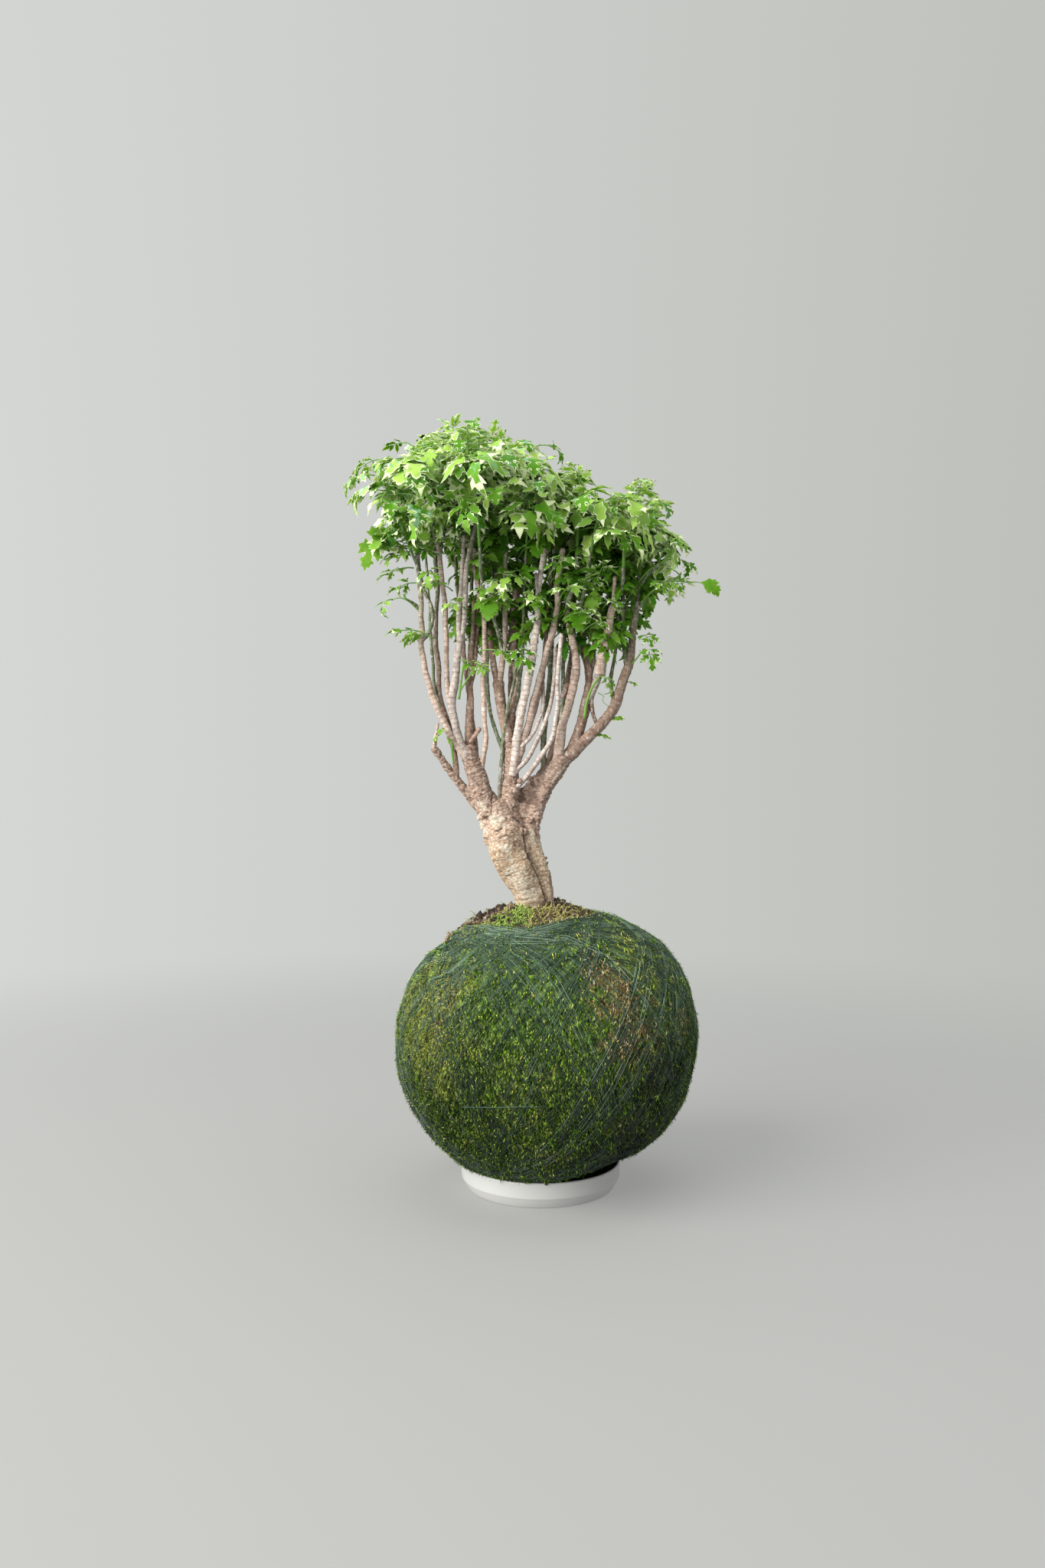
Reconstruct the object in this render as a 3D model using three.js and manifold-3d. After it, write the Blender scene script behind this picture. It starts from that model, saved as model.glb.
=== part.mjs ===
// Kokedama: a many-stemmed aralia rooted in a soil ball, wrapped in moss, bound with thread, on a saucer.
// Millimetres, +Z up, the front faces -Y. The origin is the middle of the saucer's flat underside.

import * as THREE from 'three';
import { mergeVertices } from 'three/addons/utils/BufferGeometryUtils.js';
import Module from 'manifold-3d';

const wasm = await Module();
wasm.setup();

// Saucer, as radii and heights
const SAUCER = {
  footRadius: 59,
  stepRadius: 64.5,
  stepZ: 8,
  rimRadius: 65,
  rimZ: 21,
  wall: 2.5,
  floorZ: 4,
  floorRadius: 56,
  segments: 36,
};

// Moss ball: a round body, flatter above its widest level than below it
const BALL = {
  radius: 121,
  middleZ: 122,
  lowHalf: 117.7,
  highHalf: 98,
  lowPower: 1.05,
  highPower: 0.72,
  flatSpot: 20,
};
const BALL_LEAN = { middle: 4.7, slope: 5, bow: -1 };
const MOSS_THICKNESS = 7;
const SEAT_GAP = 0.35;
const BALL_MESH = { segments: 24, outerRings: 10, innerRings: 6 };
const LOWEST_RISE = -Math.cos(0.25);
const OPENING_RISE = 0.946;
const OPENING_BLEND = { from: 0.75, over: 0.2 };
const MOUND = { x: -8, topZ: 228, edgeRadius: 49, bow: 0.0056, rings: [1, 0.78, 0.5, 0.25] };
const TUFT = {
  near: 20,
  far: 45,
  from: -2.7,
  to: -0.55,
  lift: 0.4,
  least: 0.8,
  bulge: 3,
  ripple: 0.3,
  ripplesAround: 17,
  ripplesOut: 9,
  stepsAround: 9,
  stepsOut: 4,
};

// Thread net: loops round the ball that pass clear of the opening
const THREAD = {
  loops: 6,
  steps: 28,
  clear: 1.6,
  height: 1.2,
  halfWidth: 0.9,
  leastTilt: 29,
  tiltStep: 3,
  aside: 4,
};

// Trunk foot: two round posts in their hole in the soil
const FOOT = { z0: 205, z1: 229, posts: [[-7.5, -4, 12], [7, -2, 4.4]], sides: 12, holeGap: 0.5 };

// Stem points are written as seen from the front at this eye point, then moved out to their own depth
const SIGHT = { x: -14.8, z: 327.6, distance: 1000 };

const radians = THREE.MathUtils.degToRad;

// Sides of a stem, and the length of one step along it, by its radius at the foot
const STEM_MESH = { thick: 5, thickSides: 8, thickStep: 16, slim: 2.8, slimSides: 5, thinSides: 4, step: 38 };

// Shoots: how far they stay below the crown's outline, and less so at the back, and how they spread outwards
const SHOOT = {
  below: 20,
  backShare: 0.3,
  straight: 0.45,
  spread: 0.0045,
  gap: 0.3,
  footShare: 0.85,
  tipRadius: 0.9,
};

// Leaves in millimetres and degrees, a pair being the least value and the most that a draw adds to it
const LEAF = {
  thickness: 0.8,
  petioleHalf: 0.8,
  length: [48, 18],
  smallLength: [32, 18],
  halfShare: [0.3, 0.08],
  rise: [8, 50],
  topRise: 14,
  fall: [60, 40],
  turnSpread: 44,
  rollSpread: 30,
  droop: 0.009,
};
const LEAF_BUDGET = 74;
const TEST_EXTRA = 0.45;
const SEED = { first: 4001, step: 613, factor: 16807, period: 2147483647 };

// Crown: its upper and lower edge seen from the front, and the middle that its leaves turn away from
const CROWN_MIDDLE = { x: -10, y: 8 };
const CROWN_DEPTH = 80;
const CROWN_TOP = [
  [-162, 570], [-150, 586], [-135, 594], [-110, 612], [-78, 628], [-59, 633], [-37, 620], [0, 605],
  [28, 590], [48, 580], [58, 570], [66, 580], [88, 583], [101, 570], [113, 545], [122, 515], [146, 492],
];
const CROWN_LOW = [[-162, 500], [-130, 462], [-110, 462], [-102, 506], [72, 502], [85, 470], [146, 455]];
const CROWN_SIDE = { left: -160, right: 146 };

const COLOURS = {
  saucer: [0xe6e7e4, 0.35],
  soil: [0x3a2a1c, 0.95],
  moss: [0x4e6b24, 0.95],
  tuft: [0x86a83c, 0.95],
  thread: [0x33504a, 0.6],
  bark: [0xb79d84, 0.8],
  leaf: [0x6f9a3a, 0.5],
};

// Each stem: name, radii from foot to tip, depth at foot and tip, points [x, z], and the growth of its leafy
// shoot: none where the stem is cut, up into the crown, or the length of a short spray
const CUT = 0;
const CROWN = 1;
const STEMS = [
  ['trunk_main', [12, 13, 15.5, 17, 16], [-4, -3], [[-7.5, 228.8], [-10, 240], [-17, 255], [-25, 271],
    [-30, 290]], CUT],
  ['trunk_side', [4.4, 5, 6, 7], [-2, 0], [[7, 228.8], [6, 238], [3, 252], [-3, 268], [-9, 290]], CUT],
  ['crotch', [16, 14, 11], [-3, -1], [[-30, 284], [-31, 298], [-38, 311]], CUT],
  ['limb_left', [11, 8, 7.5, 6], [-2, -3], [[-40, 304], [-48, 320], [-53, 336], [-58, 350],
    [-60, 360]], CUT],
  ['limb_middle', [13, 8, 5.5, 4.6], [0, 1], [[-25, 288], [-25, 312], [-24.5, 334], [-25.5, 354],
    [-26.5, 370]], CUT],
  ['limb_back', [9, 8, 6, 4.5], [3, 8], [[-15, 290], [-12, 308], [-5, 324], [4, 338], [12, 350]], CUT],
  ['limb_right', [6.5, 6, 6.3, 7], [-2, -4], [[-8, 286], [-3, 308], [4, 324], [12, 338], [19, 350]], CUT],
  ['far_left', [4.2, 3.2, 2.6], [0, -8], [[-46, 303], [-60, 320], [-74, 338], [-82, 349], [-88, 358]], CUT],
  ['far_left_tip', [1.9, 1.3], [-8, -9], [[-87.5, 356], [-86, 365], [-84.2, 378]], CUT],
  ['outer_left', [3, 2.3, 1.9], [-6, -14], [[-59, 347], [-70, 361], [-80, 380], [-88.5, 400],
    [-94.5, 421], [-97.5, 438], [-97.2, 456], [-98.6, 480], [-100, 505], [-101.5, 524]], CROWN],
  ['hooked', [1.8, 1.2], [-9, -24], [[-97.2, 445], [-92, 452], [-89, 461], [-90, 474], [-95, 486],
    [-100, 503], [-105, 516]], CROWN],
  ['dark_left', [2.6, 2.2, 1.8], [-2, 22], [[-69, 331], [-70, 350], [-76, 377], [-82, 398], [-84.3, 424],
    [-86, 456], [-84.6, 485], [-87, 520]], CROWN],
  ['green_left', [1.5, 1.2], [0.5, 34], [[-79, 388], [-86, 402], [-88, 425], [-90.5, 450], [-91.5, 480],
    [-94, 512]], CROWN],
  ['thin_left', [2.4, 2], [-6, -10], [[-62, 354], [-68, 372], [-74, 391], [-76.8, 414], [-77.4, 444],
    [-78, 470], [-81, 495], [-83, 519]], CUT],
  ['thin_left_a', [1.8, 1.3], [-10, -16], [[-83, 516], [-86, 527], [-89, 541]], CROWN],
  ['thin_left_b', [1.5, 1.2], [-10, -2], [[-82.8, 516], [-80, 527], [-77, 540]], CROWN],
  ['pale_left', [3, 3.2, 3], [-7, -12], [[-60, 350], [-67, 366], [-72, 388], [-70.6, 412], [-67.8, 432],
    [-65, 451]], CUT],
  ['pale_left_a', [2.2, 1.7], [-12, -12], [[-66, 445], [-67.6, 460], [-65.6, 480], [-65, 500],
    [-62.6, 532]], CUT],
  ['pale_left_b', [2.5, 2.2, 1.6], [-12, -16], [[-65, 446], [-62.2, 462], [-61.7, 490], [-58.4, 520],
    [-52, 546]], CROWN],
  ['brown_left', [3.6, 3, 2.6], [-2, 3], [[-59, 350], [-59, 368], [-58, 390], [-58.6, 409]], CUT],
  ['brown_left_a', [2.1, 1.8], [3, 10], [[-58.6, 404], [-57, 426], [-55.4, 455], [-54.5, 478]], CUT],
  ['brown_left_b', [1.8, 1.3], [3, 22], [[-58, 406], [-53.5, 426], [-52, 456], [-51, 488],
    [-49, 520]], CROWN],
  ['brown_left_c', [2, 1.4], [3, 48], [[-59, 404], [-62, 424], [-64, 452], [-68, 490], [-70, 520]], CROWN],
  ['stub_left', [2.1, 1.7], [-4, -6], [[-58, 361], [-53.5, 368], [-49.6, 374]], CUT],
  ['gap_stem', [2.3, 2, 1.9], [-4, -8], [[-50, 333], [-47, 349], [-45, 366], [-46.8, 396], [-46.6, 430],
    [-46.2, 460], [-50.5, 486], [-54.6, 506], [-55, 521]], CUT],
  ['thin_inner', [1.7, 1.3], [0, 30], [[-29, 348], [-34, 364], [-41, 386], [-44, 410], [-42, 445],
    [-40, 485], [-38, 520]], CROWN],
  ['thick_inner', [4.6, 4.6, 4.2], [0, 2], [[-26, 362], [-30, 382], [-34, 404], [-34.6, 413]], CUT],
  ['thick_inner_a', [2.8, 1.8], [2, 26], [[-35, 407], [-39.4, 430], [-41.5, 455], [-36, 490],
    [-30, 525]], CROWN],
  ['thick_inner_b', [2.7, 2.3, 1.8], [1, -3], [[-34, 407], [-31.6, 428], [-29.4, 456], [-28.8, 490],
    [-28.5, 526]], CROWN],
  ['slant_inner', [1.8, 1.3], [-1, -30], [[-31.6, 436], [-35, 452], [-42, 471], [-47.5, 490],
    [-50, 522]], CROWN],
  ['middle_dark', [4.2, 3.3, 3.3, 2.6], [2, 20], [[-26, 362], [-24, 386], [-19.5, 411], [-22.6, 440],
    [-21.6, 466], [-17, 498]], CUT],
  ['middle_dark_top', [2, 1.5], [20, 30], [[-17, 495], [-13, 512], [-10, 530]], CROWN],
  ['middle_pale', [3.4, 3.2, 3.5, 2.5, 2], [-6, -10], [[-23, 334], [-19, 367], [-14, 394], [-7.6, 427],
    [-3, 458], [-1.4, 488], [3, 521]], CUT],
  ['middle_stub', [1.6, 1.3], [-10, -11], [[-1.6, 484], [-3.4, 493], [-3.6, 501]], CUT],
  ['middle_bend', [3, 2.7, 2.5, 2.1], [-4, -8], [[-20, 343], [-12, 369], [-3.6, 403], [5, 435], [13, 466],
    [14.2, 492], [18.3, 521]], CUT],
  ['middle_brown', [2.3, 1.6], [-3, 22], [[-12, 366], [-1, 402], [2.8, 430], [5, 460], [8, 495],
    [8, 520]], CROWN],
  ['middle_green', [2.5, 1.5], [6, 46], [[3, 338], [2, 362], [6.5, 404], [9, 440], [12, 480],
    [14, 512]], CROWN],
  ['front_green', [1.5, 1.2], [2, -4], [[-22.5, 384], [-17.6, 405], [-15.2, 434], [-14, 470],
    [-12, 514]], CROWN],
  ['front_pale', [2.1, 1.6], [-11, -17], [[-21.5, 322], [-11.5, 334], [-0.5, 349.5], [9, 364], [13, 384],
    [14.2, 416], [17.3, 451]], CUT],
  ['front_knob', [5, 3.2], [-3, -12], [[-25, 312], [-23, 319], [-20.5, 325]], CUT],
  ['front_second', [2, 1.4], [-6.5, -3], [[-21.5, 336], [-9, 351.5], [0, 370.5], [7.5, 389], [11, 412],
    [12, 440]], CUT],
  ['front_third', [1.7, 1.3], [-7, 2], [[-16, 358], [-8.5, 366], [-1, 380], [1.8, 394], [2, 412]], CUT],
  ['green_gap', [1.7, 1.2], [-3, -5], [[-34, 310], [-32.6, 340], [-30.6, 366], [-27.3, 388], [-22, 411],
    [-19.6, 438]], CUT],
  ['right_dark', [1.8, 1.4], [-2, 34], [[15.5, 362], [17.5, 388], [18.5, 420], [20, 460],
    [21, 500]], CROWN],
  ['right_knot', [2.4, 2.8], [1, 3], [[17.8, 398], [20.5, 405], [23, 410]], CUT],
  ['right_pale', [4.6, 3.4, 3.3, 2.5], [-4, -8], [[14, 343], [17, 370], [25, 400], [29.4, 424],
    [26.5, 444], [20.8, 470]], CUT],
  ['right_pale_top', [2.4, 1.6], [-7, -4], [[21.2, 466], [24, 480], [28.4, 492], [30, 522]], CROWN],
  ['right_fork', [1.5, 1.2], [-7, -18], [[25, 452], [30, 461], [34, 476], [38, 500], [41, 516]], CROWN],
  ['right_brown', [4, 3.2, 2.4, 1.8], [0, 22], [[20, 348], [30, 368], [36, 394], [39.5, 418], [35, 440],
    [34.6, 480], [35, 512]], CROWN],
  ['right_branch', [2.1, 1.4], [8, 36], [[38.6, 408], [43, 428], [45, 458], [48, 492], [50, 512]], CROWN],
  ['sweep_right', [6, 4.6, 4.2, 4, 3, 2.2, 1.7], [-2, 16], [[19, 347], [36, 363], [52, 379], [62, 394],
    [67, 411], [74, 432], [76.2, 452], [79.2, 475], [81, 498]], CROWN],
  ['sweep_fork', [1.9, 1.4], [5, 26], [[70.6, 423], [68.3, 443], [67.5, 478], [70, 506]], CROWN],
  ['loop_right', [1.7, 1.2], [1, 8], [[47, 375], [43, 386], [42, 400], [44, 414]], CUT],
  ['tall_foot', [2.6, 3.4], [4, -6], [[37, 394], [43, 405], [49.4, 421]], CUT],
  ['tall_right', [4.5, 4, 3.6, 2.3], [-6, -8], [[48.6, 417], [53, 441], [57, 464], [59.4, 475]], CUT],
  ['tall_top', [2.2, 1.5], [-8, -8], [[59, 472], [62, 481], [67, 489], [68, 505]], CROWN],
  ['tall_stub', [1.8, 1.5], [-8, -8], [[59.4, 473], [60, 486], [61, 498]], CUT],
  ['green_right', [1.6, 1.2], [1, 30], [[60, 391], [58, 416], [62, 440], [64, 476], [62, 505]], CROWN],
  ['arm_right', [1.5, 1.1], [11, 10], [[78.8, 470], [88, 481], [99, 491], [110, 496]], 8],
  ['arm_upper', [1.3, 1.1], [13.8, -2], [[80.4, 488], [88, 499], [98, 508]], 20],
  ['arm_left', [1.2, 1], [-10.5, -16], [[-98, 469], [-103, 475], [-108, 478]], 8],
  ['back_left', [2.6, 1.6], [0, 50], [[-50, 326], [-56, 380], [-58, 440], [-56, 500]], CROWN],
  ['back_middle', [2.6, 1.6], [4, 60], [[-20, 330], [-24, 380], [-24, 440], [-20, 500]], CROWN],
  ['back_right', [2.6, 1.6], [6, 54], [[4, 336], [16, 380], [26, 440], [28, 495]], CROWN],
  ['back_far_right', [2.4, 1.5], [2, 46], [[30, 358], [42, 400], [54, 450], [58, 492]], CROWN],
];

// Even draws from 0 to 1
function drawFrom(seed) {
  let state = seed;
  return () => {
    state = (state * SEED.factor) % SEED.period;
    return state / SEED.period;
  };
}

function along(table, x) {
  if (x <= table[0][0]) return table[0][1];
  for (let i = 1; i < table.length; i += 1) {
    const [x0, y0] = table[i - 1];
    const [x1, y1] = table[i];
    if (x <= x1) return y0 + ((y1 - y0) * (x - x0)) / (x1 - x0);
  }
  return table[table.length - 1][1];
}

function spacedValue(values, t) {
  const place = t * (values.length - 1);
  const left = Math.min(Math.floor(place), values.length - 2);
  return values[left] + (values[left + 1] - values[left]) * (place - left);
}

// A closed geometry as a solid, with its faces turned outwards
function toSolid(geometry) {
  const bare = geometry.index ? geometry.toNonIndexed() : geometry.clone();
  bare.deleteAttribute('normal');
  bare.deleteAttribute('uv');
  const merged = mergeVertices(bare, 1e-4);
  const place = merged.attributes.position;
  const corners = [];
  for (let i = 0; i < merged.index.count; i += 3) {
    const [a, b, c] = [0, 1, 2].map((k) => merged.index.getX(i + k));
    if (a !== b && b !== c && a !== c) corners.push([a, b, c]);
  }
  const point = (i) => new THREE.Vector3().fromBufferAttribute(place, i);
  let volume = 0;
  for (const [a, b, c] of corners) volume += point(a).dot(point(b).cross(point(c)));
  if (volume < 0) corners.forEach((corner) => corner.reverse());
  return new wasm.Manifold(new wasm.Mesh({
    numProp: 3,
    vertProperties: new Float32Array(place.array),
    triVerts: new Uint32Array(corners.flat()),
  }));
}

function toMesh(solid, name, [colour, roughness]) {
  const { vertProperties, triVerts } = solid.getMesh();
  const geometry = new THREE.BufferGeometry();
  geometry.setAttribute('position', new THREE.BufferAttribute(new Float32Array(vertProperties), 3));
  geometry.setIndex(new THREE.BufferAttribute(new Uint32Array(triVerts), 1));
  geometry.computeVertexNormals();
  const material = new THREE.MeshStandardMaterial({ color: colour, roughness, metalness: 0 });
  const mesh = new THREE.Mesh(geometry, material);
  mesh.name = name;
  return mesh;
}

// A turned body whose rings may each be shifted along X
function turnedSolid(rings, segments) {
  const outline = rings.map((ring, k) => new THREE.Vector2(ring.radius, k));
  const geometry = new THREE.LatheGeometry(outline, segments);
  const place = geometry.attributes.position;
  for (let i = 0; i < place.count; i += 1) {
    const ring = rings[Math.round(place.getY(i))];
    place.setXYZ(i, ring.shift + place.getX(i), -place.getZ(i), ring.z);
  }
  return toSolid(geometry);
}

// A capped tube along a smooth line, with its own radius at each step
function taperedTube(points, radii, sides, steps) {
  const line = new THREE.CatmullRomCurve3(points, false, 'centripetal');
  const frames = line.computeFrenetFrames(steps, false);
  const geometry = new THREE.CylinderGeometry(1, 1, 1, sides, steps);
  const place = geometry.attributes.position;
  for (let i = 0; i < place.count; i += 1) {
    const step = Math.round((place.getY(i) + 0.5) * steps);
    const radius = spacedValue(radii, step / steps);
    const spot = line.getPointAt(step / steps);
    spot.addScaledVector(frames.normals[step], place.getX(i) * radius);
    spot.addScaledVector(frames.binormals[step], -place.getZ(i) * radius);
    place.setXYZ(i, spot.x, spot.y, spot.z);
  }
  return toSolid(geometry);
}

// A closed slab between an upper and a lower surface over a grid of u and v
function slabSolid(upper, lower, across, down) {
  const corners = [];
  const quad = (a, b, c, d) => corners.push(a, b, c, a, c, d);
  const at = (surface, i, j) => surface(i / across, j / down);
  for (let i = 0; i < across; i += 1) {
    for (let j = 0; j < down; j += 1) {
      quad(at(upper, i, j), at(upper, i + 1, j), at(upper, i + 1, j + 1), at(upper, i, j + 1));
      quad(at(lower, i, j), at(lower, i, j + 1), at(lower, i + 1, j + 1), at(lower, i + 1, j));
    }
    quad(at(lower, i, 0), at(lower, i + 1, 0), at(upper, i + 1, 0), at(upper, i, 0));
    quad(at(upper, i, down), at(upper, i + 1, down), at(lower, i + 1, down), at(lower, i, down));
  }
  for (let j = 0; j < down; j += 1) {
    quad(at(upper, 0, j), at(upper, 0, j + 1), at(lower, 0, j + 1), at(lower, 0, j));
    quad(at(lower, across, j), at(lower, across, j + 1), at(upper, across, j + 1), at(upper, across, j));
  }
  return toSolid(new THREE.BufferGeometry().setFromPoints(corners));
}

// The ball's middle line bows sideways, and swings over to the trunk at the top
function ballShift(rise) {
  const bowed = BALL_LEAN.middle + BALL_LEAN.slope * rise + BALL_LEAN.bow * rise * rise;
  const blend = Math.min(Math.max((rise - OPENING_BLEND.from) / OPENING_BLEND.over, 0), 1);
  return bowed + (MOUND.x - bowed) * blend * blend * (3 - 2 * blend);
}

// A ring of the ball at rise -1 (bottom) to 1 (top), standing off the moss surface by offset
function ballRing(rise, offset) {
  const half = rise > 0 ? BALL.highHalf : BALL.lowHalf;
  const power = rise > 0 ? BALL.highPower : BALL.lowPower;
  const radius = (BALL.radius + offset) * (1 - rise * rise) ** (power / 2);
  return { radius, z: BALL.middleZ + (half + offset) * rise, shift: ballShift(rise) };
}

function ballRings(offset, count) {
  const foot = ballRing(-1, offset);
  const rings = [foot, { ...foot, radius: BALL.flatSpot + offset }];
  const low = Math.asin(LOWEST_RISE);
  const high = Math.asin(OPENING_RISE);
  for (let i = 0; i <= count; i += 1) {
    const angle = low + ((high - low) * i) / count;
    rings.push(ballRing(Math.sin(angle), offset));
  }
  return rings;
}

function saucerSolid() {
  const s = SAUCER;
  const innerRadius = s.rimRadius - s.wall;
  const outline = [
    [0, 0], [s.footRadius, 0], [s.stepRadius, s.stepZ], [s.rimRadius, s.rimZ],
    [innerRadius, s.rimZ], [innerRadius, s.stepZ + 1], [s.floorRadius, s.floorZ], [0, s.floorZ],
  ];
  return turnedSolid(outline.map(([radius, z]) => ({ radius, z, shift: 0 })), s.segments);
}

function mossSolid() {
  const outer = ballRings(0, BALL_MESH.outerRings);
  const inner = ballRings(-MOSS_THICKNESS, BALL_MESH.innerRings).reverse();
  return turnedSolid([...outer, ...inner], BALL_MESH.segments);
}

function moundZ(radius) {
  return MOUND.topZ - MOUND.bow * radius * radius;
}

function footSolid(spare) {
  const [main, side] = FOOT.posts.map(([x, y, radius]) => {
    const points = [new THREE.Vector3(x, y, FOOT.z0 - spare), new THREE.Vector3(x, y, FOOT.z1 + spare)];
    return taperedTube(points, [radius + spare, radius + spare], FOOT.sides, 1);
  });
  return main.add(side);
}

function soilSolid() {
  const rings = ballRings(-MOSS_THICKNESS - SEAT_GAP, BALL_MESH.innerRings);
  for (const part of MOUND.rings) {
    const radius = MOUND.edgeRadius * part;
    rings.push({ radius, z: moundZ(radius), shift: MOUND.x });
  }
  rings.push({ radius: 0, z: MOUND.topZ, shift: MOUND.x });
  return turnedSolid(rings, BALL_MESH.segments).subtract(footSolid(FOOT.holeGap));
}

function tuftSolid() {
  const t = TUFT;
  const spot = (u, v, lift) => {
    const radius = t.near + (t.far - t.near) * v;
    const turn = t.from + (t.to - t.from) * u;
    return new THREE.Vector3(
      MOUND.x + radius * Math.cos(turn), radius * Math.sin(turn), moundZ(radius) + lift,
    );
  };
  const bulge = (u, v) => {
    const ripple = 1 + t.ripple * Math.sin(t.ripplesAround * u + t.ripplesOut * v);
    return t.bulge * Math.sin(Math.PI * u) * Math.sin(Math.PI * v) * ripple;
  };
  return slabSolid(
    (u, v) => spot(u, v, t.lift + t.least + bulge(u, v)),
    (u, v) => spot(u, v, t.lift),
    t.stepsAround,
    t.stepsOut,
  );
}

// One loop of thread, in a plane that misses the opening at the top and, by more, the saucer below
function threadLoop(index) {
  const turn = (2 * Math.PI * index) / THREAD.loops;
  const tilt = radians(THREAD.leastTilt + THREAD.tiltStep * (index % 3));
  const aside = Math.sin(radians(THREAD.aside));
  const level = new THREE.Vector3(-Math.sin(turn), Math.cos(turn), 0);
  const normal = new THREE.Vector3(Math.cos(turn), Math.sin(turn), Math.tan(tilt)).normalize();
  const steep = new THREE.Vector3().crossVectors(normal, level);
  const spot = (angle, sideways, offset) => {
    const way = level.clone().multiplyScalar(Math.cos(angle)).addScaledVector(steep, Math.sin(angle));
    way.addScaledVector(normal, aside + sideways / BALL.radius).normalize();
    const ring = ballRing(way.z, offset);
    const round = Math.atan2(way.y, way.x);
    const x = ring.shift + ring.radius * Math.cos(round);
    return new THREE.Vector3(x, ring.radius * Math.sin(round), ring.z);
  };
  const corners = [];
  const { halfWidth, clear, height, steps } = THREAD;
  const section = [[-halfWidth, clear], [halfWidth, clear], [0, clear + height]];
  for (let i = 0; i < steps; i += 1) {
    const a = (2 * Math.PI * i) / steps;
    const b = (2 * Math.PI * ((i + 1) % steps)) / steps;
    for (let k = 0; k < 3; k += 1) {
      const near = section[k];
      const next = section[(k + 1) % 3];
      corners.push(spot(a, ...near), spot(b, ...near), spot(b, ...next));
      corners.push(spot(a, ...near), spot(b, ...next), spot(a, ...next));
    }
  }
  return toSolid(new THREE.BufferGeometry().setFromPoints(corners));
}

function threadSolid() {
  let net = threadLoop(0);
  for (let i = 1; i < THREAD.loops; i += 1) net = net.add(threadLoop(i));
  return net;
}

// A point seen at x and z from the front, at its own depth y
function atDepth(x, y, z) {
  const reach = 1 + y / SIGHT.distance;
  return new THREE.Vector3(SIGHT.x + (x - SIGHT.x) * reach, y, SIGHT.z + (z - SIGHT.z) * reach);
}

function stemPoints([, , [nearY, farY], points]) {
  return points.map(([x, z], i) => {
    const t = i / (points.length - 1);
    return atDepth(x, nearY + (farY - nearY) * t * t, z);
  });
}

function stemSolid(stem) {
  const points = stemPoints(stem);
  const radii = stem[1];
  const length = new THREE.CatmullRomCurve3(points, false, 'centripetal').getLength();
  const m = STEM_MESH;
  const thick = radii[0] > m.thick;
  const steps = Math.max(2, Math.round(length / (thick ? m.thickStep : m.step)));
  const slimSides = radii[0] > m.slim ? m.slimSides : m.thinSides;
  return taperedTube(points, radii, thick ? m.thickSides : slimSides, steps);
}

function trunkSolid() {
  let trunk = footSolid(0);
  for (const stem of STEMS) trunk = trunk.add(stemSolid(stem));
  return trunk;
}

// How far a shoot grows: the stem's own number for a short spray, or up to near the crown's outline
function shootLength([, , [, farY], points, growth]) {
  if (growth !== CROWN) return growth;
  const [x, z] = points[points.length - 1];
  const shy = (farY - CROWN_MIDDLE.y) / CROWN_DEPTH;
  return (along(CROWN_TOP, x) - z - SHOOT.below) * (1 - SHOOT.backShare * shy * shy);
}

// The leafy shoot that goes on from a stem's cut end
function shootLine(stem) {
  const points = stemPoints(stem);
  const end = points[points.length - 1];
  const way = end.clone().sub(points[points.length - 2]).normalize();
  const outX = SHOOT.spread * (end.x - CROWN_MIDDLE.x);
  const outY = SHOOT.spread * (end.y - CROWN_MIDDLE.y);
  const length = shootLength(stem);
  const start = end.clone().addScaledVector(way, SHOOT.gap);
  const middle = start.clone().addScaledVector(way, length * SHOOT.straight);
  const upward = new THREE.Vector3(outX, outY, 1).normalize();
  const tip = middle.clone().addScaledVector(upward, length * (1 - SHOOT.straight));
  return new THREE.CatmullRomCurve3([start, middle, tip], false, 'centripetal');
}

// Leaf places on a shoot: the share of its height, and the turn from its outward side
const LEAF_PLACES = [
  [1, 0], [0.82, 48], [0.88, -52], [0.62, -8], [0.95, 110], [0.72, -115], [0.42, 30], [0.97, 180],
  [0.5, -70], [0.56, 84], [0.3, -20], [0.66, 170],
];

function leafPlan(stemIndex, line, small) {
  const draw = drawFrom(SEED.first + SEED.step * stemIndex);
  const about = (spread) => spread * (draw() - 0.5);
  const drawn = ([least, extra]) => least + extra * draw();
  const start = line.getPointAt(0);
  const outward = Math.atan2(start.y - CROWN_MIDDLE.y, start.x - CROWN_MIDDLE.x);
  return LEAF_PLACES.map(([height, turn]) => {
    const bearing = outward + radians(turn + about(LEAF.turnSpread));
    const rise = radians(drawn(LEAF.rise) + (height === 1 ? LEAF.topRise : 0));
    const fall = radians(drawn(LEAF.fall));
    const length = drawn(small ? LEAF.smallLength : LEAF.length);
    const half = length * drawn(LEAF.halfShare);
    const roll = radians(about(LEAF.rollSpread));
    return { root: line.getPointAt(height), bearing, rise, fall, length, half, roll };
  });
}

// A point of the leaf, from its length u, its side v and its height w, bent along its arch
function leafPoint(leaf, u, v, w) {
  const bend = -leaf.fall / leaf.length;
  const angle = leaf.rise + bend * u;
  const forward = (Math.sin(angle) - Math.sin(leaf.rise)) / bend;
  const upward = (Math.cos(leaf.rise) - Math.cos(angle)) / bend;
  const lift = w - LEAF.droop * v * v;
  const side = v * Math.cos(leaf.roll) - lift * Math.sin(leaf.roll);
  const normal = v * Math.sin(leaf.roll) + lift * Math.cos(leaf.roll);
  const reach = forward - normal * Math.sin(angle);
  const point = new THREE.Vector3();
  point.x = reach * Math.cos(leaf.bearing) - side * Math.sin(leaf.bearing);
  point.y = reach * Math.sin(leaf.bearing) + side * Math.cos(leaf.bearing);
  point.z = upward + normal * Math.cos(angle);
  return point.add(leaf.root);
}

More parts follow.
